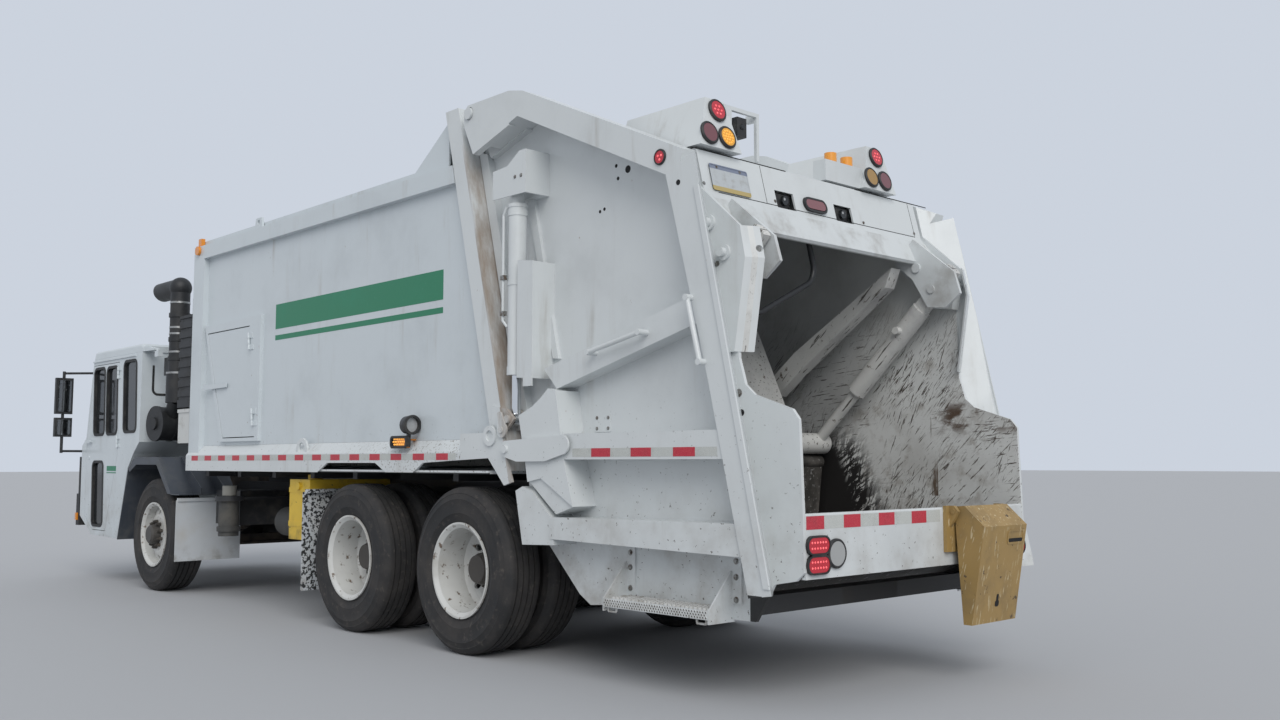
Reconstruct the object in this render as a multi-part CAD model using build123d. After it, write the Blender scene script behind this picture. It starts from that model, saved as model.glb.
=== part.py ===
from math import cos, hypot, radians, sin
from build123d import *
import os

# Rear-loading garbage truck on a low-entry cab-over chassis with a tandem.
# Millimetres. While it is laid out, x runs forward from the rearmost axle,
# y to the left from the centre line and z up from the ground. save() then
# moves x so that the origin is the middle of the truck's length.

# Overall length and height
FRONT_X, REAR_X = 7130, -2810
MIDDLE_X = (FRONT_X + REAR_X) / 2
POST_TOP_Z = 3490

# Axles and wheels
FRONT_AXLE_X = 5039
TANDEM_X = (0, 1366)
TYRE_R = 520
FLANGE_R = 298
FRONT_TYRE_Y = (875, 1190)
DUAL_INNER_Y = (606, 885)
DUAL_OUTER_Y = (936, 1215)
KINGPIN_Y = 900
STEER_ARM = 170
TIE_ROD_Z = 414

# Air intake pipe
PIPE_X, PIPE_Y = 4900, 1050

# Chassis rails
RAIL_Y = (345, 430)
RAIL_Z = (740, 1010)
DROP_RAIL_Z = (360, 545)
RAIL_X = (-480, 6940)
RAIL_WALL = 12

# Cab
CAB_Y = 1200
CAB_WALL = 45
CAB_GAP = 6
CAB_FLOOR_Z = 600
HEADLAMP_Y = (-960, -760, 760, 960)
DOOR_HINGE = [(5973, 1294), (6010, 2200)]
DOOR_HINGE_Y = 1212
WINDOW_LEAN = 0.055

# Load body
FRONT_POST_X = (4020, 4235)
LEDGE_Y = 1220
POST_Y = 1200
SHEET_Y = 1150
SHEET = 12
SKIRT_Z = (1119, 1255)
FLOOR_Z = (1120, 1140)
RAIL_TOP_Z = (3000, 3121)
ROOF_Z = 3166
ACCESS_FACE_Y = 1180
ACCESS_HINGE_Y = 1192

# Tailgate
HINGE_X, HINGE_Z = -73, 3413
SEAL_LEAN = 0.26
SEAL_TOP_X = 96
SEAL_GAP = 15
GATE_OUT_Y = 1220
GATE_SHEET_Y = (1015, 1035)
REAR_EDGE = [(-2037, 2900), (-2534, 687)]
SILL_X = -2600
SILL_Z = (633, 937)

# Tailgate lift cylinders
LIFT_TOP = (-500, 2950)
LIFT_FOOT = (-500, 1450)
LIFT_Y = 1150

# Lamp boxes on the tailgate's roof
LIGHT_BOX_STEP = -1465

# Packer
PACK_PIN = (-2126, 2266)
PACK_EYE = (-1159, 1319)
PACK_Y = 900
PORT_X, PORT_Z = -1880, 2025
BLADE_HINGE = (-1120, 1195)

# Cart tipper
TIPPER_PIN = (-2645, 925)


def box(x0, x1, y0, y1, z0, z1):
    return Pos((x0 + x1) / 2, (y0 + y1) / 2, (z0 + z1) / 2) * Box(x1 - x0, y1 - y0, z1 - z0)


def side_plate(outline, y0, y1, corner=0):
    """A plate of (x, z) outline between two planes, its corners rounded if asked."""
    face = make_face(Polyline(*outline, close=True))
    if corner:
        face = fillet(face.vertices(), corner)
    return extrude(Plane.XZ.offset(-y1) * face, y1 - y0)


def cross_plate(outline, x0, x1):
    """A plate of (y, z) outline between two planes along the truck."""
    face = Plane.YZ.offset(x0) * make_face(Polyline(*outline, close=True))
    return extrude(face, x1 - x0)


def bar(start, end, radius, bore=0):
    run = Vector(*end) - Vector(*start)
    ring = Circle(radius)
    if bore:
        ring -= Circle(bore)
    return extrude(Plane(origin=start, z_dir=run.normalized()) * ring, run.length)


def cross_bar(x, z, y0, y1, radius, bore=0):
    return bar((x, y0, z), (x, y1, z), radius, bore)


def turned(profile, x, z=TYRE_R):
    """A wheel part turned about its axle from a (radius, y) outline."""
    return Pos(x, 0, z) * revolve(make_face(Polyline(*profile, close=True)), Axis.Y)


def on_line(line, z):
    """x on the straight line through two (x, z) points at height z."""
    (x0, z0), (x1, z1) = line
    return x0 + (x1 - x0) * (z - z0) / (z1 - z0)


def knuckles(line, y, out, middles, half, radius, leaf_length):
    """Hinge halves on a leaning axis: fixed outer barrels, turning middle ones."""
    fixed, turning = [], []
    for z in middles:
        for group, low, high, way in ((fixed, z - half, z - half / 3 - 3, -1), (turning, z - half / 3, z + half / 3, 1),
                                      (fixed, z + half / 3 + 3, z + half, -1)):
            barrel = bar((on_line(line, low), y, low), (on_line(line, high), y, high), radius)
            reach = sorted((0, way * leaf_length))
            leaf_line = [(on_line(line, low) + reach[0], low), (on_line(line, low) + reach[1], low),
                         (on_line(line, high) + reach[1], high), (on_line(line, high) + reach[0], high)]
            group.append(barrel + side_plate(leaf_line, out, out + 6))
    return fused(fixed), fused(turning)


def other_side(solid):
    return mirror(solid, about=Plane.XZ)


def both_sides(*solids):
    return [turn for solid in solids for turn in (solid, other_side(solid))]


def fused(solids):
    whole = solids[0]
    for solid in solids[1:]:
        whole += solid
    return whole


def save(node, *pieces):
    solids = [s.moved(Location((-MIDDLE_X, 0, 0))) for piece in pieces for s in piece.solids()]
    export_step(Compound(solids) if len(solids) > 1 else solids[0], f"parts/{node}.step")


os.makedirs("parts", exist_ok=True)

# Chassis frame: two channel rails that drop ahead of the front axle, joined
# by cross members.
def rail_outline(inset):
    low, high = RAIL_Z
    drop_low, drop_high = DROP_RAIL_Z
    rear, front = RAIL_X
    return [(rear, low + inset), (4760, low + inset), (5560, drop_low + inset), (front, drop_low + inset),
            (front, drop_high - inset), (5650, drop_high - inset), (4850, high - inset), (rear, high - inset)]


rail = side_plate(rail_outline(0), *RAIL_Y)
rail -= side_plate(rail_outline(RAIL_WALL), RAIL_Y[0], RAIL_Y[1] - RAIL_WALL)
frame = both_sides(rail)
for x in (-430, 683, 2300, 3300):
    frame.append(box(x - 40, x + 40, -418, 418, 800, 960))
frame.append(box(6100, 6180, -418, 418, 380, 520))
frame.append(box(6860, 6940, -418, 418, 372, 533))
save("chassis_frame", fused(frame))

# Front axle: dropped beam, kingpin eyes and a leaf spring each side.
beam = cross_plate([(-860, 465), (-640, 440), (-520, 400), (520, 400), (640, 440), (860, 465),
                    (860, 575), (640, 560), (520, 490), (-520, 490), (-640, 560), (-860, 575)],
                   FRONT_AXLE_X - 50, FRONT_AXLE_X + 50)
for side in (1, -1):
    y = side * KINGPIN_Y
    beam += bar((FRONT_AXLE_X, y, 460), (FRONT_AXLE_X, y, 580), 50)
    beam -= bar((FRONT_AXLE_X, y, 450), (FRONT_AXLE_X, y, 590), 23)


def leaf(middle_x, z, half, rise, thick, y0, y1):
    """One leaf: an arc of the given half length whose ends stand rise above z."""
    top = ThreePointArc((-half, rise + thick), (0, thick), (half, rise + thick))
    low = ThreePointArc((half, rise), (0, 0), (-half, rise))
    ends = [Line((half, rise + thick), (half, rise)), Line((-half, rise), (-half, rise + thick))]
    face = make_face([top, ends[0], low, ends[1]])
    return extrude(Plane.XZ.offset(-y1) * Pos(middle_x, z) * face, y1 - y0)


springs = []
for index, half in enumerate((620, 520, 420, 320, 220)):
    rise = 95 * (half / 620) ** 2
    springs.append(leaf(FRONT_AXLE_X, 556 - 14 * index, half, rise, 14, 440, 520))
spring = fused(springs)
spring += box(FRONT_AXLE_X - 90, FRONT_AXLE_X + 90, 436, 524, 490, 500)
for x in (FRONT_AXLE_X - 590, FRONT_AXLE_X + 590):
    spring += box(x - 30, x + 30, 431, 520, 640, 700) if x < FRONT_AXLE_X else box(x - 30, x + 30, 431, 520, 560, 660)
save("front_axle", beam, *both_sides(spring))

# Knuckles: yoke round the kingpin eye, spindle and steering arm.
knuckle = bar((FRONT_AXLE_X, KINGPIN_Y, 410), (FRONT_AXLE_X, KINGPIN_Y, 630), 20)
for low, high in ((408, 450), (590, 632)):
    knuckle += bar((FRONT_AXLE_X, KINGPIN_Y, low), (FRONT_AXLE_X, KINGPIN_Y, high), 50)
    knuckle += box(FRONT_AXLE_X - 50, FRONT_AXLE_X + 50, KINGPIN_Y, 985, low, high)
knuckle += box(FRONT_AXLE_X - 55, FRONT_AXLE_X + 55, 960, 990, 408, 632)
knuckle += cross_bar(FRONT_AXLE_X, TYRE_R, 990, 1165, 40)
knuckle += side_plate([(FRONT_AXLE_X - STEER_ARM, 436), (FRONT_AXLE_X, 432), (FRONT_AXLE_X, 450),
                       (FRONT_AXLE_X - STEER_ARM, 456)], KINGPIN_Y - 25, KINGPIN_Y + 25)
arm_x = FRONT_AXLE_X - STEER_ARM
knuckle += bar((arm_x, KINGPIN_Y, 436), (arm_x, KINGPIN_Y, 456), 28)
knuckle += bar((arm_x, KINGPIN_Y, 396), (arm_x, KINGPIN_Y, 436), 11)
save("knuckle_left", knuckle)
save("knuckle_right", other_side(knuckle))

# Tie rod: one tube with an eye round each arm's stud.
tie_rod = bar((arm_x, -KINGPIN_Y, TIE_ROD_Z), (arm_x, KINGPIN_Y, TIE_ROD_Z), 16)
for side in (1, -1):
    y = side * KINGPIN_Y
    tie_rod += bar((arm_x, y, 400), (arm_x, y, 426), 26)
    tie_rod -= bar((arm_x, y, 390), (arm_x, y, 440), 14)
save("tie_rod", tie_rod)


# Tyres: rounded casing on each rim.
def tyre(y0, y1, x):
    half = [(282, 26), (302, 24), (360, 3), (440, 3), (500, 24), (TYRE_R, 58)]
    outline = [(r, y0 + inset) for r, inset in half] + [(r, y1 - inset) for r, inset in reversed(half)]
    return turned(outline, x)


# Front wheels: convex disc with ten hand holes, hub on the spindle.
front_rim = turned([(FLANGE_R, 884), (FLANGE_R, 896), (277, 902), (272, 1000), (277, 1163), (FLANGE_R, 1169),
                    (FLANGE_R, 1181), (286, 1181), (264, 1160), (262, 1090), (170, 1136), (70, 1136), (70, 1122),
                    (165, 1122), (262, 1070), (262, 905), (286, 884)], FRONT_AXLE_X)
for index in range(10):
    turn = radians(36 * index + 18)
    x, z = FRONT_AXLE_X + 212 * cos(turn), TYRE_R + 212 * sin(turn)
    front_rim -= cross_bar(x, z, 1040, 1170, 24)
front_hub = turned([(44, 1010), (135, 1010), (135, 1060), (150, 1060), (150, 1122), (95, 1122), (95, 1136), (88, 1205),
                    (70, 1222), (0, 1222), (0, 1175), (44, 1175)], FRONT_AXLE_X)
front_rim += front_hub
front_tyre = tyre(*FRONT_TYRE_Y, FRONT_AXLE_X)
for name, place in (("left", lambda s: s), ("right", other_side)):
    save(f"rim_front_{name}", place(front_rim))
    save(f"tyre_front_{name}", place(front_tyre))

# Rear wheels: two rims dished towards each other on one hub and drum.
for number, axle_x in enumerate(reversed(TANDEM_X), 1):
    outer_rim = turned([(FLANGE_R, 1206), (FLANGE_R, 1194), (277, 1188), (272, 1100), (277, 960), (FLANGE_R, 956),
                        (FLANGE_R, 945), (286, 945), (262, 958), (240, 940), (170, 911), (60, 911), (60, 923),
                        (165, 923), (232, 956), (262, 985), (262, 1185), (286, 1206)], axle_x)
    inner_rim = turned([(FLANGE_R, 615), (FLANGE_R, 627), (277, 633), (272, 720), (277, 860), (FLANGE_R, 865),
                        (FLANGE_R, 876), (286, 876), (262, 863), (240, 881), (170, 910), (60, 910), (60, 898),
                        (165, 898), (232, 865), (262, 836), (262, 636), (286, 615)], axle_x)
    holes = []
    for index in range(10):
        turn = radians(36 * index)
        x, z = axle_x + 205 * cos(turn), TYRE_R + 205 * sin(turn)
        hole = cross_bar(x, z, 850, 970, 24)
        outer_rim -= hole
        inner_rim -= hole
    hub = turned([(60, 606), (198, 606), (212, 606), (212, 760), (150, 770), (150, 897), (60, 897)], axle_x)
    hub -= turned([(0, 596), (197, 596), (197, 720), (120, 720), (60, 760), (0, 760)], axle_x)
    hub += turned([(60, 897), (110, 897), (110, 924), (100, 1040), (85, 1075), (0, 1075), (0, 1000), (60, 1000)], axle_x)
    rear_rim = [outer_rim, inner_rim, hub]
    tyres = [tyre(*DUAL_OUTER_Y, axle_x), tyre(*DUAL_INNER_Y, axle_x)]
    for name, place in (("left", lambda s: s), ("right", other_side)):
        save(f"rim_rear_{number}_{name}", *[place(s) for s in rear_rim])
        save(f"tyres_rear_{number}_{name}", *[place(s) for s in tyres])

# Rear axles: tube, drive head and spindles, with the drive shafts between.
axles = []
for axle_x in TANDEM_X:
    axle = cross_bar(axle_x, TYRE_R, -585, 585, 72)
    axle += cross_bar(axle_x, TYRE_R, -990, 990, 52)
    axle += Pos(axle_x, 0, TYRE_R) * Sphere(205)
    axle += bar((axle_x + 100, 0, TYRE_R + 20), (axle_x + 330, 0, TYRE_R + 70), 85)
    for side in (1, -1):
        axle += cross_bar(axle_x, TYRE_R, side * 568, side * 588, 185)
        axle += box(axle_x - 70, axle_x + 70, side * 500 - 45, side * 500 + 45, TYRE_R + 40, TYRE_R + 100)
    axles.append(axle)
axles.append(bar((200, 0, TYRE_R + 50), (TANDEM_X[1] - 190, 0, TYRE_R + 40), 50))
axles.append(bar((TANDEM_X[1] + 320, 0, TYRE_R + 68), (3900, 0, 760), 55))
axles.append(bar((3850, 0, 758), (4620, 0, 800), 140))
save("rear_axles", fused(axles))

# Rear suspension: a leaf pack on a trunnion each side, with torque rods.
packs = []
trunnion_x = sum(TANDEM_X) / 2
for index, half in enumerate((700, 600, 500, 400, 300, 200)):
    rise = -70 * (half / 700) ** 2
    packs.append(leaf(trunnion_x, 691 + 16 * index, half, rise, 16, 462, 538))
pack_spring = fused(packs)
pack_spring += box(trunnion_x - 130, trunnion_x + 130, 432, 560, 787, 850)
pack_spring += side_plate([(trunnion_x - 200, 1000), (trunnion_x + 200, 1000), (trunnion_x + 110, 787),
                           (trunnion_x - 110, 787)], 431, 470)
save("rear_suspension", *both_sides(pack_spring))

# Engine: one block between the rails behind the cab.
save("engine", box(4640, 5330, -335, 335, 660, 1420))

# Air intake: snorkel, cleaner canister and the tall stack guard.
snorkel = bar((PIPE_X, PIPE_Y, 1750), (PIPE_X, PIPE_Y, 2845), 88)
for low, high, radius in ((1750, 2020, 104), (2150, 2190, 96), (2330, 2370, 96), (2560, 2600, 98)):
    snorkel += bar((PIPE_X, PIPE_Y, low), (PIPE_X, PIPE_Y, high), radius)
hood = bar((PIPE_X - 40, PIPE_Y, 2845), (5390, PIPE_Y, 2845), 92)
hood -= side_plate([(5377, 2960), (5310, 2740), (5420, 2740), (5420, 2960)], 900, 1200)
snorkel += hood + Pos(PIPE_X, PIPE_Y, 2845) * Sphere(101)
cleaner = bar((5215, 760, 1560), (5176, 1150, 1560), 160)
for y0, y1, radius in ((820, 845, 168), (985, 1010, 168), (1120, 1150, 168)):
    ends = [(5215 - (y - 760) * 0.1, y, 1560) for y in (y0, y1)]
    cleaner += bar(*ends, radius)
cleaner += bar((5176, 1150, 1560), (5172, 1172, 1560), 60)
snorkel += cleaner + bar((PIPE_X, PIPE_Y, 1790), (5170, 1000, 1600), 72)
snorkel += box(4990, 5140, 1000, 1090, 2020, 2190) + box(4900, 5200, 640, 765, 1400, 1500)
snorkel += box(5080, 5200, 680, 765, 1480, 1560)
guard = box(4340, 4620, 880, 1160, 1690, 2536)
for z in range(1760, 2500, 90):
    guard -= box(4335, 4625, 1148, 1170, z, z + 30)
stack = bar((4480, 1020, 2536), (4480, 1020, 2700), 75)
save("air_intake", snorkel, guard + stack)
electrics = box(4265, 4505, 940, 1190, 1364, 1663)
electrics += box(4257, 4513, 932, 1198, 1640, 1671)
save("battery_box", electrics, *both_sides(box(3810, 4300, 431, 900, 640, 940)))

# Hydraulic tank ahead of the tandem, and the air dryer and reservoirs.
tank = box(2100, 2425, 431, 1130, 600, 1060)
for z in (700, 960):
    tank += box(2096, 2429, 431, 1134, z, z + 40)
tank += bar((2262, 1000, 1060), (2262, 1000, 1095), 55) + bar((2262, 1130, 1010), (2262, 1150, 1010), 30)
save("hydraulic_tank", tank)
dryer = bar((3715, 1040, 560), (3715, 1040, 860), 85) + bar((3715, 1040, 600), (3715, 1040, 640), 98)
dryer += bar((3715, 1040, 860), (3715, 1040, 900), 118) + bar((3715, 1040, 900), (3715, 1040, 990), 60)
dryer += box(3640, 3790, 431, 1040, 868, 892)
reservoir = bar((2500, 800, 700), (3100, 800, 700), 120) + box(2780, 2820, 431, 800, 760, 800)
save("air_tanks", dryer, *both_sides(reservoir))

# Front fenders: a bent sheet over each front wheel with a lip.
fender_line = [(5872, 442), (5645, 1130), (5468, 1241), (4883, 1241), (4560, 905)]
inner_line = [(x - 8 if x > FRONT_AXLE_X else x + 8, z - 8) for x, z in fender_line]
fender = side_plate(fender_line + inner_line[::-1], 870, 1212)
fender += side_plate([(5640, 1130), (5468, 1240), (4883, 1240), (4560, 905), (4640, 905), (4925, 1170), (5430, 1170),
                      (5590, 1100)], 1206, 1214)
fender += side_plate([(4883, 1233), (4560, 897), (4380, 897), (4380, 905), (4560, 905), (4883, 1241)], 600, 1212)
for x0, x1, y in ((4390, 4560, 1000), (4390, 4560, 780)):
    fender += side_plate([(x0, 905), (x1, 905), (4883, 1235), (4860, 1241), (x0, 960)], y, y + 8)
save("front_fenders", *both_sides(fender))

# Mud flaps behind the front wheels and a splash guard before the tandem.
front_flap = box(4424, 4434, 610, 1215, 305, 850)
front_flap += box(4410, 4438, 431, 1205, 840, 870)
splash = box(2040, 2050, 600, 1215, 235, 970) + box(2010, 2060, 431, 1190, 960, 990)
save("mud_flaps", *both_sides(front_flap, splash))

# Front bumper with upright guards at its ends.
bumper = box(7040, FRONT_X, -1200, 1200, 530, 860)
bumper += fused(both_sides(box(6941, 7100, 345, 430, 380, 532)))
bumper += fused(both_sides(box(7060, 7110, 1110, 1190, 860, 1250)))
for y in (-490, 490):
    tow_eye = side_plate([(7060, 530), (7060, 450), (7090, 425), (7120, 450), (7120, 530)], y - 15, y + 15)
    bumper += tow_eye - cross_bar(7090, 470, y - 20, y + 20, 22)
for y in HEADLAMP_Y:
    bumper -= bar((FRONT_X - 32, y, 700), (FRONT_X + 5, y, 700), 82)
save("front_bumper", bumper)

# Cab shell: one bent outline with its inside taken out, then the door, the
# windscreen and the other windows are cut through.
cab_outline = [(5410, 1389), (5560, 1270), (5690, 1130), (5905, 442), (6640, 448), (7010, 635), (7020, 1362),
               (6899, 1446), (6756, 2208), (6700, 2320), (5400, 2320)]
cab_inner = [(5450, 1420), (5590, 1305), (5735, 1130), (5925, 560), (6930, 560), (6970, 660), (6975, 1335),
             (6850, 1430), (6712, 2190), (6680, 2260), (5440, 2260)]
door_outline = [(6010, 2200), (5973, 1294), (6255, 500), (6640, 500), (6870, 640), (6870, 1440), (6735, 2200)]
cab_body = side_plate(cab_outline, -CAB_Y, CAB_Y)
cab_body -= side_plate(cab_inner, -CAB_Y + CAB_WALL, CAB_Y - CAB_WALL)
cab_body -= side_plate(door_outline, -CAB_Y - 1, CAB_Y + 1)


def window(rear, front, low, high):
    """A leaning four-sided window, given by its edges at its middle height."""
    shift = WINDOW_LEAN * (high - low) / 2
    return [(rear - shift, low), (front - shift, low), (front + shift, high), (rear + shift, high)]


side_window = window(5520, 5856, 1488, 2195)
for y0, y1 in ((CAB_Y - CAB_WALL - 1, CAB_Y + 1), (-CAB_Y - 1, CAB_WALL + 1 - CAB_Y)):
    cab_body -= side_plate(side_window, y0, y1, 60)
rear_window = fillet(make_face(Polyline((-700, 1700), (700, 1700), (700, 2190), (-700, 2190), close=True)).vertices(), 80)
cab_body -= extrude(Plane.YZ.offset(5380) * rear_window, 90)
windscreen = cross_plate([(-1080, 1500), (1080, 1500), (1040, 2170), (-1040, 2170)], 6600, 7000)
cab_body -= windscreen
cab_body -= box(5300, 7100, -1300, 1300, 2262, 2400)
cab_body -= box(5650, 6900, -1000, 1000, 430, 561)
door_knuckles = knuckles(DOOR_HINGE, DOOR_HINGE_Y, CAB_Y, (1400, 2090), 60, 11, 55)
cab_body += fused(both_sides(door_knuckles[0]))
cab_body += fused(both_sides(side_plate([(5560, 2230), (6745, 2230), (6742, 2245), (5560, 2245)], CAB_Y - 2, CAB_Y + 14)))

# Grille of level slats in a frame on the cab's front, between its steps.
grille = box(7005, 7034, -430, 430, 780, 1190) - box(7000, 7040, -405, 405, 805, 1165)
for z in range(830, 1150, 48):
    grille += box(7005, 7026, -410, 410, z, z + 16)
cab_body += grille
save("cab_shell", cab_body)

# Cab roof: a shallow crowned cap.
roof_outline = [(5388, 2263), (6728, 2263), (6690, 2345), (5440, 2345), (5388, 2320)]
roof = side_plate(roof_outline, -CAB_Y, CAB_Y)
roof = fillet(roof.edges().filter_by(lambda edge: edge.center().Z > 2318 and edge.center().X > 5390), 30)
roof -= side_plate([(5440, 2262), (6680, 2262), (6655, 2310), (5440, 2310)], -CAB_Y + 50, CAB_Y - 50)
lookout = side_plate([(5400, 2318), (5400, 2265), (5150, 2262), (5150, 2276)], 1120, 1190)
lookout += box(5070, 5152, 1132, 1178, 2196, 2250) + bar((5130, 1155, 2240), (5160, 1155, 2270), 10)
save("cab_roof", roof + lookout)

# Cab glass: windscreen halves, side windows behind the doors, rear window.
screen_line = [(6891, 1490), (6760, 2190), (6752, 2190), (6883, 1490)]
screen = side_plate([(x - 10, z) for x, z in screen_line], -1100, 1100) & windscreen
panes = [screen, *both_sides(side_plate(side_window, CAB_Y - 22, CAB_Y - 16, 60))]
panes.append(extrude(Plane.YZ.offset(5420) * rear_window, 6))
save("cab_glass", *panes)


# Cab doors: a rear-hung leaf with three windows cut through each.
def shrunk(outline, gap):
    middle_x = sum(x for x, z in outline) / len(outline)
    middle_z = sum(z for x, z in outline) / len(outline)
    return [(x + (gap if x < middle_x else -gap), z + (gap if z < middle_z else -gap)) for x, z in outline]


# Columns: rear edge, front edge, low, high.
door_windows = [window(6384, 6695, 1473, 2165), window(6030, 6330, 1473, 2160), window(6350, 6660, 545, 1200)]
door = side_plate(shrunk(door_outline, CAB_GAP), CAB_Y - CAB_WALL, CAB_Y)
door_panes = []
for opening in door_windows:
    door -= side_plate(opening, 1100, 1300, 60)
    door_panes.append(side_plate(opening, CAB_Y - 25, CAB_Y - 19, 60))
door += door_knuckles[1]
door += side_plate([(6700, 1392), (6850, 1392), (6850, 1424), (6700, 1424)], CAB_Y + 22, CAB_Y + 32, 15)
for x in (6715, 6820):
    door += box(x, x + 15, CAB_Y - 2, CAB_Y + 24, 1398, 1418)
door += cross_bar(6790, 1240, CAB_Y - 2, CAB_Y + 6, 18)
save("door_left", door)
save("door_right", other_side(door))
save("door_glass_left", *door_panes)
save("door_glass_right", *[other_side(pane) for pane in door_panes])

# Cab inside: floor tray, two seats, dashboard and steering wheel.
inside = box(5960, 6925, -1155, 1155, 561, CAB_FLOOR_Z)
seats = []
for y in (620, -620):
    seat = box(5900, 6300, y - 230, y + 230, 1000, 1100) + box(5800, 5910, y - 230, y + 230, 1050, 1750)
    seat += box(5980, 6240, y - 150, y + 150, CAB_FLOOR_Z, 1000)
    seats.append(seat)
dash = box(6620, 6840, -1100, 1100, 1150, 1400) + box(6650, 6800, -200, 200, CAB_FLOOR_Z, 1150)
column = bar((6640, 620, 1300), (6468, 620, 1452), 30)
wheel = Pos(6470, 620, 1450) * Rot(0, -48, 0) * Torus(215, 16)
spokes = Pos(6470, 620, 1450) * Rot(0, -48, 0) * (Box(420, 30, 16) + Box(30, 420, 16))
save("cab_interior", fused([inside, *seats, dash, column, wheel, spokes]))

# Mirrors: two heads on a swan arm at each front corner.
mirror_arm = bar((6795, 1160, 2130), (7050, 1400, 2130), 12)
mirror_arm += side_plate([(6765, 2165), (6779, 2095), (6809, 2095), (6795, 2165)], 1130, 1185)
mirror_arm += bar((7050, 1400, 1290), (7050, 1400, 2150), 15)
mirror_arm += bar((7035, 1160, 1310), (7050, 1400, 1310), 12)
mirror_arm += box(7021, 7048, 1130, 1185, 1280, 1340)
mirror_arm += box(7025, 7075, 1310, 1480, 1700, 2080) + box(7025, 7075, 1310, 1480, 1460, 1660)
save("mirrors", *both_sides(mirror_arm))

# Body floor: plate, long sills, bearers, skirts and the sloping ledge.
body_front = FRONT_POST_X[1]
skirt_low, skirt_high = SKIRT_Z
skirt_line = [(body_front, skirt_high), (-16, skirt_high), (-16, 1206), (404, 1189), (524, 1125), (869, 1125),
              (1005, 1188), (1679, 1188), (1823, skirt_low), (body_front, skirt_low)]
floor = box(-300, body_front, -1206, 1206, *FLOOR_Z)
for side in (1, -1):
    y0, y1 = sorted((side * 345, side * 430))
    floor += box(-450, body_front, y0, y1, 1011, 1120)
    y0, y1 = sorted((side * 1206, side * LEDGE_Y))
    floor += side_plate(skirt_line, y0, y1)
    floor += cross_plate([(side * 1206, 1240), (side * LEDGE_Y, skirt_high), (side * SHEET_Y, 1335),
                          (side * SHEET_Y, 1318)], -16, body_front)
for x in range(200, 4200, 640):
    floor += box(x - 30, x + 30, -1100, 1100, 1070, 1120)
floor -= box(524, 869, -1100, 1100, 1060, 1119)
half_ring = side_plate([(2012, 1262), (2188, 1262), (2188, 1300), (2164, 1350), (2120, 1374), (2080, 1374), (2036, 1350),
                        (2012, 1300)], 1192, 1208) - cross_bar(2100, 1290, 1190, 1210, 52)
floor += fused(both_sides(half_ring))
save("body_floor", floor)


# Body sides: sheet, front post and top rail, with a lifting eye on the rail.
def seal_x(z):
    """x of the load body's rear edge at height z."""
    return SEAL_TOP_X - SEAL_LEAN * (POST_TOP_Z - z)


rail_low, rail_high = RAIL_TOP_Z
side_outline = [(body_front, 1336), (seal_x(1336) + 146, 1336), (seal_x(rail_low) + 146, rail_low),
                (body_front, rail_low)]
access_opening = [(3945, 2321), (3112, 2324), (2975, 1396), (3589, 1394)]
frame_outer = [(4005, 2388), (2911, 2400), (2911, 1366), (3640, 1366)]
EYE_X = 2986
ledge_cut = [(1100, 1336), (1150, 1336), (1226, 1249), (1226, 1200), (1100, 1200)]


def body_side():
    wall = side_plate(side_outline, SHEET_Y - SHEET, SHEET_Y)
    post_rear = FRONT_POST_X[0]
    wall += side_plate([(post_rear, 1266), (body_front, 1266), (body_front, rail_high), (post_rear, rail_high)],
                       SHEET_Y - SHEET, POST_Y)
    wall += side_plate([(post_rear, rail_low), (post_rear, rail_high), (seal_x(rail_high) + 146, rail_high),
                        (seal_x(rail_low) + 146, rail_low)], SHEET_Y - SHEET, POST_Y)
    eye = side_plate([(EYE_X - 70, rail_high), (EYE_X + 70, rail_high), (EYE_X + 50, 3210), (EYE_X - 50, 3210)],
                     1165, 1185)
    wall += eye - cross_bar(EYE_X, 3172, 1160, 1190, 22)
    return wall - cross_plate(ledge_cut, -600, 4300)


right_side = other_side(body_side())
left_side = body_side()
left_side += side_plate(frame_outer, SHEET_Y, ACCESS_FACE_Y)
left_side -= side_plate(access_opening, SHEET_Y - 20, POST_Y)
access_line = [(2977, 1396), (2977 + 137, 2324)]
access_knuckles = knuckles(access_line, ACCESS_HINGE_Y, ACCESS_FACE_Y, (1560, 2190), 70, 11, 60)
left_side += access_knuckles[0]
save("body_side_left", left_side)
save("body_side_right", right_side)

# Access door in the left side, hung on its slanted rear edge, with its bar.
access_door = side_plate(shrunk(access_opening, 8), SHEET_Y - 12, ACCESS_FACE_Y - 4)
access_door += access_knuckles[1]
for z in (1560, 2190):
    x = on_line(access_line, z)
    access_door += box(x + 18, x + 56, ACCESS_FACE_Y - 6, ACCESS_FACE_Y + 3, z - 18, z + 18)
access_door += side_plate([(3500, 1862), (3500, 1828), (3950, 1822), (3950, 1868)], ACCESS_FACE_Y + 8, ACCESS_FACE_Y + 20)
for x in (3540, 3650):
    access_door += box(x, x + 40, ACCESS_FACE_Y - 6, ACCESS_FACE_Y + 10, 1834, 1858)
save("access_door", access_door)

# Body roof: a plate that rises to a fairing ahead of the rear frame.
roof_line = [(body_front, 3122), (body_front, ROOF_Z), (650, ROOF_Z), (240, 3440), (240, 3400), (640, 3122)]
top = side_plate(roof_line, -1160, 1160)
top += fused(both_sides(side_plate([(640, 3122), (650, 3160), (240, 3434), (240, 3122)], 1148, 1160)))
save("body_roof", top)

# Body front wall.
save("body_front_wall", box(4190, 4234, -1137, 1137, 1141, 3121))

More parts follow.
